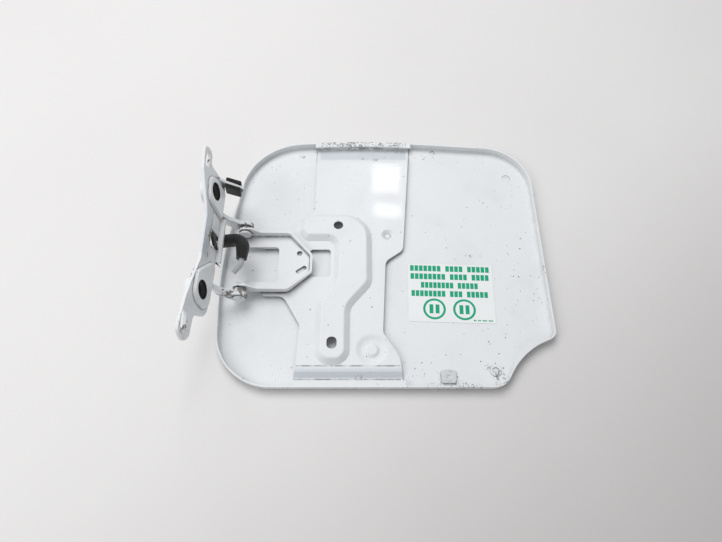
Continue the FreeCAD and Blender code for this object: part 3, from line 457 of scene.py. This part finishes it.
def label_film(name, colours):
    """Satin film, a little greyer in patches, with dirty pin pricks."""
    material, tree, at = new_material(name)
    cloud = noise(tree, at, 70.0, 4.0)
    base = mixed(tree, ramp(tree, cloud, 0.45, 0.75, 0.0, 0.4), tuple(colours.film), tuple(colours.paint))
    pricks = ramp(tree, noise(tree, at, 1300.0, 3.0, 0.7), 0.76, 0.82, 0.0, 0.5)
    base = mixed(tree, pricks, base, tuple(colours.grime_and_shade_tone))
    surface(tree, {"Base Color": base, "Roughness": ramp(tree, cloud, 0.3, 0.7, 0.3, 0.45),
                   "Normal": bump(tree, noise(tree, at, 240.0, 2.0), 0.01 * MM)})
    return material


def label_ink(name, colours):
    """Printed green ink with slightly thin places."""
    material, tree, at = new_material(name)
    thin = ramp(tree, noise(tree, at, 900.0, 3.0, 0.6), 0.5, 0.8, 0.0, 0.35)
    base = mixed(tree, thin, tuple(colours.ink), THIN_INK)
    surface(tree, {"Base Color": base, "Roughness": ramp(tree, thin, 0.0, 0.35, 0.38, 0.55)})
    return material


def pale_foam(name, colours):
    """Closed-cell foam: a fine pitted skin with grey smudges."""
    material, tree, at = new_material(name)
    cells = add(tree, "ShaderNodeTexVoronoi", {"Vector": at, "Scale": 2200.0}).outputs["Distance"]
    smudge = ramp(tree, noise(tree, at, 420.0, 4.0, 0.6), 0.5, 0.75, 0.0, 0.5)
    base = mixed(tree, smudge, tuple(colours.pad), FOAM_SMUDGE)
    surface(tree, {"Base Color": base, "Roughness": ramp(tree, smudge, 0.0, 0.5, 0.6, 0.85),
                   "Normal": bump(tree, cells, 0.05 * MM)})
    return material


def loose_dirt(name, colours):
    """Dry dirt in two close greys."""
    material, tree, at = new_material(name)
    base = mixed(tree, noise(tree, at, 700.0, 3.0), tuple(colours.grime_and_shade_tone), DRY_DIRT)
    rough = ramp(tree, noise(tree, at, 1500.0), 0.3, 0.7, 0.75, 0.95)
    surface(tree, {"Base Color": base, "Roughness": rough})
    return material


def floor_paint(name, colours):
    """Pale floor with painted shade, darker on one side of the flap."""
    material, tree, at = new_material(name)
    cloud = ramp(tree, noise(tree, at, 9.0, 3.0), 0.3, 0.75)
    across = add(tree, "ShaderNodeVectorMath", {0: at, 1: SHADE_WAY}, operation="DOT_PRODUCT").outputs["Value"]
    away = add(tree, "ShaderNodeVectorMath", {0: at}, operation="LENGTH").outputs["Value"]
    # painted shade: darker across the floor towards one side and fading far out, with random tone added
    worn = times(tree, ramp(tree, across, 0.0, 0.22, 0.0, 0.9), ramp(tree, away, 0.5, 0.25))
    worn = plus(tree, worn, times(tree, cloud, 0.06))
    base = mixed(tree, worn, tuple(colours.floor), tuple(colours.shaded_floor))
    surface(tree, {"Base Color": base, "Roughness": ramp(tree, cloud, 0.0, 1.0, 0.56, 0.6)})
    return material


# Geometry node trees ------------------------------------------------------------------------------

# the smallest speck as a share of the largest, and the power that makes most of them small
SMALLEST_SPECK = 0.25
SPECK_SPREAD = 3.0
# specks are turned by up to a full turn
SPIN_RANGE = 6.283
SPIN_SEED = 7
UP = (0.0, 0.0, 1.0)


def new_tree(name, sockets):
    """A geometry node tree with the named inputs, and the nodes at its two ends."""
    tree = bpy.data.node_groups.new(name, "GeometryNodeTree")
    tree.interface.new_socket("Geometry", in_out="INPUT", socket_type="NodeSocketGeometry")
    for label, kind in sockets:
        tree.interface.new_socket(label, in_out="INPUT", socket_type=kind)
    tree.interface.new_socket("Geometry", in_out="OUTPUT", socket_type="NodeSocketGeometry")
    return tree, add(tree, "NodeGroupInput"), add(tree, "NodeGroupOutput")


def grown(piece, tree, values):
    """Runs a geometry node tree on a piece and keeps the result as a plain mesh."""
    modifier = piece.modifiers.new(tree.name, "NODES")
    modifier.node_group = tree
    for item in tree.interface.items_tree:
        if item.in_out == "INPUT" and item.name in values:
            modifier[item.identifier] = values[item.name]
    made_plain(piece)


def finish_tree(tree, start, end, copies):
    """Ends a tree: makes the copies real and gives them the material."""
    real = add(tree, "GeometryNodeRealizeInstances", {"Geometry": copies.outputs[0]})
    painted = add(tree, "GeometryNodeSetMaterial", {
        "Geometry": real.outputs[0], "Material": start.outputs["Material"]})
    tree.links.new(painted.outputs[0], end.inputs[0])
    return tree


def speck_tree():
    """Scatters flakes over a surface, each turned to lie on it, more where the weight is high."""
    tree, start, end = new_tree("dirt_specks", [
        ("Flake", "NodeSocketObject"), ("Density", "NodeSocketFloat"), ("Size", "NodeSocketFloat"),
        ("Seed", "NodeSocketInt"), ("Material", "NodeSocketMaterial")])
    weight = add(tree, "GeometryNodeInputNamedAttribute", {"Name": "speck_weight"}, data_type="FLOAT")
    density = times(tree, weight.outputs[0], start.outputs["Density"])
    points = add(tree, "GeometryNodeDistributePointsOnFaces", {
        "Mesh": start.outputs["Geometry"], "Density": density, "Seed": start.outputs["Seed"]})
    flake = add(tree, "GeometryNodeObjectInfo", {"Object": start.outputs["Flake"]})
    small = times(tree, start.outputs["Size"], SMALLEST_SPECK)
    chance = add(tree, "FunctionNodeRandomValue", {"Seed": start.outputs["Seed"]}, data_type="FLOAT")
    share = maths(tree, "POWER", chance.outputs[1], SPECK_SPREAD)
    size = ramp(tree, share, 0.0, 1.0, small, start.outputs["Size"], smooth=False)
    spin = add(tree, "FunctionNodeRandomValue", {2: 0.0, 3: SPIN_RANGE, "Seed": SPIN_SEED}, data_type="FLOAT")
    turn = add(tree, "FunctionNodeAxisAngleToRotation", {"Axis": UP, "Angle": spin.outputs[1]})
    turned = add(tree, "FunctionNodeRotateRotation", {0: points.outputs["Rotation"], 1: turn.outputs[0]},
                 rotation_space="LOCAL")
    copies = add(tree, "GeometryNodeInstanceOnPoints", {
        "Points": points.outputs["Points"], "Instance": flake.outputs["Geometry"],
        "Rotation": turned.outputs[0], "Scale": size})
    return finish_tree(tree, start, end, copies)


def print_tree():
    """Puts a printed block on every point, as wide and high as the point says."""
    tree, start, end = new_tree("label_print", [
        ("Rise", "NodeSocketFloat"), ("Turn", "NodeSocketFloat"), ("Material", "NodeSocketMaterial")])
    extent = add(tree, "GeometryNodeInputNamedAttribute", {"Name": "block_size"}, data_type="FLOAT_VECTOR")
    block = add(tree, "GeometryNodeMeshCube", {"Size": (1.0, 1.0, 1.0)})
    turn = add(tree, "FunctionNodeAxisAngleToRotation", {"Axis": UP, "Angle": start.outputs["Turn"]})
    rise = add(tree, "ShaderNodeCombineXYZ", {"Z": start.outputs["Rise"]})
    whole = add(tree, "ShaderNodeVectorMath", {0: extent.outputs[0], 1: rise.outputs[0]}, operation="ADD")
    points = add(tree, "GeometryNodeMeshToPoints", {"Mesh": start.outputs["Geometry"]})
    copies = add(tree, "GeometryNodeInstanceOnPoints", {
        "Points": points.outputs[0], "Instance": block.outputs["Mesh"], "Rotation": turn.outputs[0],
        "Scale": whole.outputs[0]})
    return finish_tree(tree, start, end, copies)


# Operators ----------------------------------------------------------------------------------------

class FILLER_OT_stage(bpy.types.Operator):
    """Makes the floor, the soft light and the camera"""
    bl_idname = "filler_flap.stage"
    bl_label = "Stage"

    CAMERA_PLACE = (-0.0118, -0.1396, 0.256)
    CAMERA_TILT = math.radians(27.0)
    CAMERA_LENS = 27.92
    SENSOR_WIDTH = 36.0
    # place, width and height, and power of each lamp: the soft ones, then the panes that the paint mirrors
    SOFT_LAMPS = (((-0.2, 0.42, 0.82), (0.6, 0.6), 5.1), ((-0.5, -0.2, 0.5), (0.4, 0.4), 1.3))
    PANES = (((0.051, 0.706, 0.9), (0.069, 0.068), 0.15), ((0.054, 0.612, 0.9), (0.065, 0.032), 0.07))
    SKY_COLOUR = (0.985, 0.99, 1.0, 1.0)
    SKY = 0.43
    FLOOR_REACH = 3.0

    def execute(self, context):
        scene = context.scene
        scene.view_settings.view_transform = "Standard"
        camera = bpy.data.cameras.new("camera")
        camera.lens = self.CAMERA_LENS
        camera.sensor_width = self.SENSOR_WIDTH
        stand = bpy.data.objects.new("camera", camera)
        stand.location = self.CAMERA_PLACE
        stand.rotation_euler = (self.CAMERA_TILT, 0.0, 0.0)
        scene.collection.objects.link(stand)
        scene.camera = stand
        for number, (spot, size, power) in enumerate(self.SOFT_LAMPS + self.PANES):
            lamp = bpy.data.lights.new(f"lamp_{number}", "AREA")
            lamp.shape = "RECTANGLE"
            lamp.size, lamp.size_y = size
            lamp.energy = power
            holder = bpy.data.objects.new(lamp.name, lamp)
            holder.location = spot
            holder.visible_glossy = number >= len(self.SOFT_LAMPS)
            holder.rotation_euler = (-Vector(spot)).to_track_quat("-Z", "Y").to_euler()
            scene.collection.objects.link(holder)
        world = bpy.data.worlds.new("sky")
        world.use_nodes = True
        sky = world.node_tree.nodes["Background"]
        sky.inputs["Color"].default_value = self.SKY_COLOUR
        sky.inputs["Strength"].default_value = self.SKY
        scene.world = world
        work = bmesh.new()
        bmesh.ops.create_grid(work, x_segments=1, y_segments=1, size=self.FLOOR_REACH)
        floor = plain_piece(work, "floor")
        floor.data.materials.append(floor_paint("floor_paint", scene.flap_colours))
        return {"FINISHED"}


class FILLER_OT_skin(bpy.types.Operator):
    """Makes the painted outer skin"""
    bl_idname = "filler_flap.skin"
    bl_label = "Outer skin"

    # grimy spots: place and radius
    GRIMY = (((0.0289, 0.0663, 0.001), 0.0035), ((0.0236, 0.0627, 0.001), 0.0025),
             ((0.0806, -0.009, 0.003), 0.003), ((0.048, -0.0602, 0.001), 0.003),
             ((0.053, -0.0645, 0.001), 0.005), ((0.0692, 0.0488, 0.001), 0.002),
             ((-0.045, 0.064, 0.001), 0.003), ((0.0452, -0.001, 0.001), 0.002))
    # boxes of grime on the hems, each with its strength
    HEM_GRIME = (((-0.034, 0.068, 0.0035), (0.0135, 0.075, 0.008), 0.17),
                 ((0.018, -0.0715, 0.0008), (0.036, -0.0675, 0.006), 0.1),
                 ((0.032, -0.0715, 0.0008), (0.044, -0.068, 0.006), 0.16),
                 ((0.051, -0.0715, 0.0008), (0.058, -0.0665, 0.006), 0.16))
    # a dark line along the rim's top edge: painted shadow, with grime
    EDGE_LINE = ((0.0165, 0.07, 0.0036), (0.04, 0.0715, 0.006))

    def execute(self, context):
        scene = context.scene
        skin = softened(node_copy("outer_skin"), "skin_panel", scene.flap_sizes.skin_edge)
        paint = white_paint("skin_paint", scene.flap_colours, self.GRIMY, grimy_bands=self.HEM_GRIME,
                            painted_shade_lines=(self.EDGE_LINE,))
        dress(skin, "flap", "white_paint", paint)
        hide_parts("outer_skin")
        return {"FINISHED"}


class FILLER_OT_plate(bpy.types.Operator):
    """Makes the pressed inner plate and the hinge arm welded to it"""
    bl_idname = "filler_flap.plate"
    bl_label = "Inner plate and arm"

    # grimy spots, then the boxes of the painted shade lines and of the blue-grey painted shade bands along
    # the hems
    GRIMY = (((-0.0035, 0.06, 0.002), 0.003), ((-0.011, 0.061, 0.002), 0.002),
             ((-0.013, -0.0665, 0.002), 0.004))
    HEM_SHADE_LINES = (((-0.0438, -0.0606, 0.0), (0.0066, -0.0602, 0.01)),
                 ((-0.0438, -0.0666, 0.0), (0.0066, -0.0663, 0.01)),
                 ((-0.036, 0.0672, 0.0), (0.0142, 0.0676, 0.01)))
    HEM_SHADE_BANDS = (((-0.0438, -0.065, 0.0), (0.0068, -0.0625, 0.01)),
               ((-0.034, 0.061, 0.0), (0.0125, 0.066, 0.01)))
    DIRT = 0.7
    PLATE_CREASES = 0.5
    # places of the two pins along the hinge, and how far the paint round them is chipped
    PINS = (12.0, -27.0)
    PIN_WEAR = 8.0 * MM

    def execute(self, context):
        scene = context.scene
        sizes, colours = scene.flap_sizes, scene.flap_colours
        plate = softened(node_copy("reinforcement_plate"), "inner_plate", sizes.plate_edge)
        paint = white_paint("plate_paint", colours, self.GRIMY, dirt=self.DIRT, painted_shade_lines=self.HEM_SHADE_LINES,
                            painted_shade_bands=self.HEM_SHADE_BANDS)
        dress(plate, "flap", "white_paint", paint, crease_shade_and_dirt("plate_creases", colours, self.PLATE_CREASES))
        crease_faces(plate, 1)
        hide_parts("reinforcement_plate")
        arm = softened(node_copy("hinge_arm"), "forked_arm", sizes.plate_edge)
        chipped = tuple((tuple(bracket_point(0.0, y, 0.0)), self.PIN_WEAR) for y in self.PINS)
        paint = white_paint("arm_paint", colours, chip_spots=chipped, dirt=self.DIRT)
        dress(arm, "flap", "white_paint", paint, crease_shade_and_dirt("arm_creases", colours))
        crease_faces(arm, 1)
        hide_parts("hinge_arm")
        return {"FINISHED"}


class FILLER_OT_bracket(bpy.types.Operator):
    """Makes the hinge bracket, with dark threads in its bolt holes, and the two riveted pins"""
    bl_idname = "filler_flap.bracket"
    bl_label = "Hinge bracket and pins"

    # middles of the bolt holes, along the hinge and up the face
    BOLTS = ((18.8, 23.8), (-33.9, 23.8))
    HOLE_RADIUS = 4.4 * MM
    # a hole's wall: how far past its radius, and how far turned towards its axis, a face may be
    HOLE_MARGIN = 1.02
    WALL_TURN = 0.5
    PIN_WEAR = 7.0 * MM
    # chipped spots: place from the hinge and radius
    CHIPPED = (((0.0, -27.0, 0.0), 8.0), ((-5.0, -27.0, 5.0), 6.0), ((0.0, 12.5, 0.0), 7.0),
               ((-8.5, -4.0, 19.0), 8.0), ((-8.0, 31.0, 34.0), 6.0), ((-8.0, -55.0, 33.0), 6.0))
    # the painted shade line along the fold and the painted shade band on the bracket's face: ends along the
    # hinge, then heights
    FOLD_SHADE_LINE = (-16.0, 8.8, 20.7, 21.9)
    FACE_SHADE_BAND = (-15.5, 8.4, 22.6, 26.4)
    # from in front of the face to behind it
    FACE_DEPTHS = (-7.5, -8.7)

    def strip(self, start, end, low, high):
        """A box round a strip of the bracket's face, in the part's frame."""
        near_side, far_side = self.FACE_DEPTHS
        corners = bracket_point(near_side, start, low), bracket_point(far_side, end, high)
        return tuple(map(min, *corners)), tuple(map(max, *corners))

    def thread_holes(self, bracket, index):
        """Gives the walls of the bolt holes the material of the given index."""
        along = BRACKET_TURN @ Vector((1.0, 0.0, 0.0))
        for y, w in self.BOLTS:
            middle = bracket_point(0.0, y, w)
            for face in bracket.data.polygons:
                gap = face.center - middle
                gap -= along * gap.dot(along)
                in_hole = gap.length < self.HOLE_RADIUS * self.HOLE_MARGIN
                if in_hole and abs(face.normal.dot(along)) < self.WALL_TURN:
                    face.material_index = index

    def execute(self, context):
        scene = context.scene
        sizes, colours = scene.flap_sizes, scene.flap_colours
        bracket = softened(node_copy("hinge_bracket"), "bracket_plate", sizes.bracket_edge, clamped=False)
        chipped = tuple((tuple(bracket_point(*spot)), radius * MM) for spot, radius in self.CHIPPED)
        paint = white_paint("bracket_paint", colours, chip_spots=chipped,
                            painted_shade_lines=(self.strip(*self.FOLD_SHADE_LINE),),
                            painted_shade_bands=(self.strip(*self.FACE_SHADE_BAND),))
        dress(bracket, "bracket", "white_paint", paint, nut_thread("bolt_thread"),
              crease_shade_and_dirt("bracket_creases", colours))
        crease_faces(bracket, 2)
        self.thread_holes(bracket, 1)
        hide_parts("hinge_bracket")
        for node in ("upper_hinge_pin", "lower_hinge_pin"):
            pin = softened(node_copy(node), node.replace("hinge", "riveted"), sizes.plate_edge)
            middle = sum(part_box(node), Vector()) / 2
            worn = ((tuple(middle), self.PIN_WEAR),)
            dress(pin, "bracket", "white_paint", white_paint(node + "_paint", colours, chip_spots=worn))
            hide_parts(node)
        return {"FINISHED"}


class FILLER_OT_spring(bpy.types.Operator):
    """Makes the return spring and its tapered rubber sleeve"""
    bl_idname = "filler_flap.spring"
    bl_label = "Spring and sleeve"

    # the sleeve's tapered tail along the hinge, and the wire's middle inside it
    TAIL_START = -4.2
    TAIL_END = -10.2
    WIRE_U = 2.0
    WIRE_W = 6.6
    # the hook swells from just inside the tail's end, and ever less along its length
    HOOK_INSIDE = 1.0
    HOOK = 6.0
    LEAST_SWELL = 0.2
    WIRE_CORNER = 50.0

    def execute(self, context):
        scene = context.scene
        sizes, colours = scene.flap_sizes, scene.flap_colours
        work = node_copy("return_spring")
        work.normal_update()
        for corner in work.verts:
            past = self.TAIL_END + self.HOOK_INSIDE - corner.co.y / MM
            if past > 0.0:
                share = max(self.LEAST_SWELL, 1.0 - past / self.HOOK)
                corner.co += corner.normal * sizes.hook_swell * share
        wire = softened(work, "bent_wire", sizes.plate_edge, corner=self.WIRE_CORNER)
        dress(wire, "bracket", "spring_steel", spring_steel("wire_steel", colours))
        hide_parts("return_spring")
        work = node_copy("spring_sleeve")
        for corner in work.verts:
            y = corner.co.y / MM
            along = min(1.0, max(0.0, (self.TAIL_START - y) / (self.TAIL_START - self.TAIL_END)))
            if along > 0.0:
                middle = bracket_point(self.WIRE_U, y, self.WIRE_W)
                corner.co = middle + (corner.co - middle) * (1.0 + (sizes.sleeve_end - 1.0) * along)
        sleeve = softened(work, "rubber_sleeve", sizes.rubber_edge)
        dress(sleeve, "bracket", "black_rubber", black_rubber("sleeve_rubber", colours))
        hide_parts("spring_sleeve")
        return {"FINISHED"}


class FILLER_OT_buffer(bpy.types.Operator):
    """Makes the rubber stop buffer on its tab"""
    bl_idname = "filler_flap.buffer"
    bl_label = "Stop buffer"

    def execute(self, context):
        scene = context.scene
        clip = softened(node_copy("stop_buffer"), "buffer_clip", scene.flap_sizes.rubber_edge, segments=3)
        dress(clip, "bracket", "black_rubber", black_rubber("buffer_rubber", scene.flap_colours))
        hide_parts("stop_buffer")
        return {"FINISHED"}


class FILLER_OT_label(bpy.types.Operator):
    """Makes the label with plain printed blocks and two rings"""
    bl_idname = "filler_flap.label"
    bl_label = "Label"

    # rows of words: height on the label, left end, right end, blocks in each word
    ROWS = ((13.4, -20.6, 20.0, (7, 4, 5)), (8.8, -20.4, 19.6, (8, 4, 4)), (4.0, -15.2, 13.8, (8, 5)),
            (-0.7, -20.0, 18.6, (8, 3, 5)))
    SMALL_ROW = (-14.6, 10.4, 20.0, (2, 2, 3, 3))
    SMALL_HEIGHT = 0.7
    RING_PLACES = ((-8.5, -9.0), (6.3, -9.0))
    # the two bars in each ring: their size and their step from its middle
    BAR = (1.9, 4.8)
    BAR_STEP = 1.5
    BLOCK_FILL = 0.8
    WORD_GAP = 0.9
    RING_WALL = 0.2
    RING_STEPS = 64
    FILM_EDGE = 0.04 * MM

    def row_blocks(self, row, height):
        """Places and sizes of one row's blocks, in millimetres on the label."""
        y, left, right, words = row
        pitch = (right - left) / (sum(words) + self.WORD_GAP * (len(words) - 1))
        x = left
        for word in words:
            for _ in range(word):
                yield (x + pitch / 2, y), (pitch * self.BLOCK_FILL, height)
                x += pitch
            x += pitch * self.WORD_GAP

    def execute(self, context):
        scene = context.scene
        sizes, colours = scene.flap_sizes, scene.flap_colours
        film = softened(node_copy("fuel_label"), "label_sheet", self.FILM_EDGE)
        dress(film, "flap", "label_film", label_film("label_film", colours))
        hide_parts("fuel_label")
        low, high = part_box("fuel_label")
        middle = ((low.x + high.x) / 2, (low.y + high.y) / 2, high.z + sizes.print_rise / 2)
        turn = Matrix.Translation(middle) @ Matrix.Rotation(LABEL_TURN, 4, "Z")
        blocks = [block for row in self.ROWS for block in self.row_blocks(row, sizes.block_height / MM)]
        blocks += self.row_blocks(self.SMALL_ROW, self.SMALL_HEIGHT)
        blocks += [((x + side * self.BAR_STEP, y), self.BAR) for x, y in self.RING_PLACES for side in (-1, 1)]
        mesh = bpy.data.meshes.new("label_blocks")
        mesh.from_pydata([turn @ Vector((x * MM, y * MM, 0.0)) for (x, y), _ in blocks], [], [])
        extents = mesh.attributes.new("block_size", "FLOAT_VECTOR", "POINT")
        for item, (_, (wide, tall)) in zip(extents.data, blocks):
            item.vector = (wide * MM, tall * MM, 0.0)
        words = bpy.data.objects.new("label_blocks", mesh)
        scene.collection.objects.link(words)
        ink = label_ink("label_ink", colours)
        grown(words, print_tree(), {"Rise": sizes.print_rise, "Turn": LABEL_TURN, "Material": ink})
        dress(words, "flap", "label_film", ink)
        work = bmesh.new()
        for x, y in self.RING_PLACES:
            self.add_ring(work, turn @ Matrix.Translation((x * MM, y * MM, 0.0)), sizes)
        rings = plain_piece(work, "label_rings")
        dress(rings, "flap", "label_film", ink)
        return {"FINISHED"}

    def add_ring(self, work, where, sizes):
        """A flat ring of ink, as a closed band with four sides."""
        outer, inner = sizes.ring_radius, sizes.ring_radius * (1.0 - self.RING_WALL)
        half = sizes.print_rise / 2
        corners = ((outer, -half), (outer, half), (inner, half), (inner, -half))
        loops = []
        for step in range(self.RING_STEPS):
            angle = 2.0 * math.pi * step / self.RING_STEPS
            ray = Vector((math.cos(angle), math.sin(angle), 0.0))
            loops.append([work.verts.new(where @ (ray * radius + Vector((0.0, 0.0, z))))
                          for radius, z in corners])
        for one, two in zip(loops, loops[1:] + loops[:1]):
            for side in range(4):
                work.faces.new((one[side], two[side], two[(side + 1) % 4], one[(side + 1) % 4]))


class FILLER_OT_pad(bpy.types.Operator):
    """Makes the foam pad at the lower edge, with a pit in its middle"""
    bl_idname = "filler_flap.pad"
    bl_label = "Edge pad"

    # loops down the pit: size as a share of the one before, and step
    PIT_LOOPS = ((0.45, 0.0), (0.6, -0.1), (0.7, -0.45))
    EDGE = 0.22 * MM

    def execute(self, context):
        scene = context.scene
        work = node_copy("edge_pad")
        top = max(work.faces, key=lambda face: face.calc_center_median().z)
        middle = top.calc_center_median()
        for share, drop in self.PIT_LOOPS:
            top = bmesh.ops.extrude_discrete_faces(work, faces=[top])["faces"][0]
            for corner in top.verts:
                corner.co.xy = middle.xy + (corner.co.xy - middle.xy) * share
                corner.co.z += drop * MM
        pad = softened(work, "foam_pad", self.EDGE)
        dress(pad, "flap", "pale_pad", pale_foam("pad_foam", scene.flap_colours))
        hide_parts("edge_pad")
        return {"FINISHED"}


class FILLER_OT_specks(bpy.types.Operator):
    """Scatters dirt specks over the inside of the skin and the plate"""
    bl_idname = "filler_flap.specks"
    bl_label = "Dirt specks"

    # dirty places: middle, reach and weight
    DIRTY = (((0.03, 0.065), 0.012, 6.0), ((0.02, -0.066), 0.02, 7.0), ((0.055, -0.06), 0.02, 4.0),
             ((0.055, 0.0), 0.06, 2.4), ((-0.05, -0.064), 0.02, 2.0), ((0.0, 0.069), 0.012, 9.0),
             ((-0.02, 0.069), 0.012, 9.0), ((0.012, 0.069), 0.008, 9.0), ((0.0, 0.06), 0.008, 5.0),
             ((0.07, -0.03), 0.02, 2.0))
    BARE_WEIGHT = 0.15
    # dirt lies on faces above this height that look up, cut into cells of this size
    LOWEST = 0.7 * MM
    FACING_UP = 0.5
    CELL = 2.5 * MM
    ROUNDS = 6
    SEED = 11
    # the flake: sides, middle radius, its change and turn from side to side, and peak
    FLAKE_SIDES = 7
    FLAKE_RADIUS = 0.5
    FLAKE_SHAPE = (0.72, 0.28, 2.4)
    FLAKE_PEAK = (0.05, 0.02, 0.16)

    def weight(self, spot):
        """How much dirt lies at a place on the flap."""
        total = self.BARE_WEIGHT
        for middle, reach, share in self.DIRTY:
            gap = (Vector(middle) - spot.xy).length / reach
            total += share * max(0.0, 1.0 - gap) ** 2
        return total

    def ground(self):
        """The faces that dirt can lie on, cut into small cells."""
        work = bmesh.new()
        for name in ("skin_panel", "inner_plate"):
            work.from_mesh(bpy.data.objects[name].data)
        bmesh.ops.triangulate(work, faces=work.faces)
        bare = [face for face in work.faces
                if face.normal.z < self.FACING_UP or face.calc_center_median().z < self.LOWEST]
        bmesh.ops.delete(work, geom=bare, context="FACES")
        for _ in range(self.ROUNDS):
            long = [edge for edge in work.edges if edge.calc_length() > self.CELL]
            bmesh.ops.subdivide_edges(work, edges=long, cuts=1, use_grid_fill=True)
            bmesh.ops.triangulate(work, faces=work.faces)
        return plain_piece(work, "dirt_specks")

    def flake(self):
        """A low uneven cone about one unit across."""
        work = bmesh.new()
        middle, change, turn = self.FLAKE_SHAPE
        rim = []
        for step in range(self.FLAKE_SIDES):
            angle = 2.0 * math.pi * step / self.FLAKE_SIDES
            reach = self.FLAKE_RADIUS * (middle + change * math.sin(step * turn))
            rim.append(work.verts.new((reach * math.cos(angle), reach * math.sin(angle), 0.0)))
        peak = work.verts.new(self.FLAKE_PEAK)
        for one, two in zip(rim, rim[1:] + rim[:1]):
            work.faces.new((one, two, peak))
        work.faces.new(rim[::-1])
        return plain_piece(work, "speck_flake")

    def execute(self, context):
        scene = context.scene
        sizes = scene.flap_sizes
        specks = self.ground()
        weights = specks.data.attributes.new("speck_weight", "FLOAT", "POINT")
        for corner, item in zip(specks.data.vertices, weights.data):
            item.value = self.weight(corner.co)
        total = 0.0
        for face in specks.data.polygons:
            total += face.area * sum(weights.data[i].value for i in face.vertices) / len(face.vertices)
        flake = self.flake()
        dirt = loose_dirt("loose_dirt", scene.flap_colours)
        grown(specks, speck_tree(), {
            "Flake": flake, "Density": sizes.speck_count / total, "Size": sizes.speck_size, "Seed": self.SEED,
            "Material": dirt})
        bpy.data.objects.remove(flake)
        dress(specks, "flap", "white_paint", dirt)
        return {"FINISHED"}


class FILLER_PT_panel(bpy.types.Panel):
    """Lists the steps that finish the filler flap"""
    bl_idname = "FILLER_PT_panel"
    bl_label = "Filler flap"
    bl_space_type = "VIEW_3D"
    bl_region_type = "UI"
    bl_category = "Filler flap"

    def draw(self, context):
        for step in STEPS:
            self.layout.operator(step.bl_idname)
        for group in (context.scene.flap_sizes, context.scene.flap_colours):
            for name in group.__annotations__:
                self.layout.prop(group, name)


STEPS = (FILLER_OT_stage, FILLER_OT_skin, FILLER_OT_plate, FILLER_OT_bracket, FILLER_OT_spring,
         FILLER_OT_buffer, FILLER_OT_label, FILLER_OT_pad, FILLER_OT_specks)
CLASSES = (FlapSizes, FlapColours, *STEPS, FILLER_PT_panel)


def register():
    for item in CLASSES:
        bpy.utils.register_class(item)
    bpy.types.Scene.flap_sizes = PointerProperty(type=FlapSizes)
    bpy.types.Scene.flap_colours = PointerProperty(type=FlapColours)


def unregister():
    del bpy.types.Scene.flap_colours
    del bpy.types.Scene.flap_sizes
    for item in reversed(CLASSES):
        bpy.utils.unregister_class(item)


def main():
    register()
    for step in STEPS:
        group, name = step.bl_idname.split(".")
        getattr(getattr(bpy.ops, group), name)()


if __name__ == "__main__":
    main()
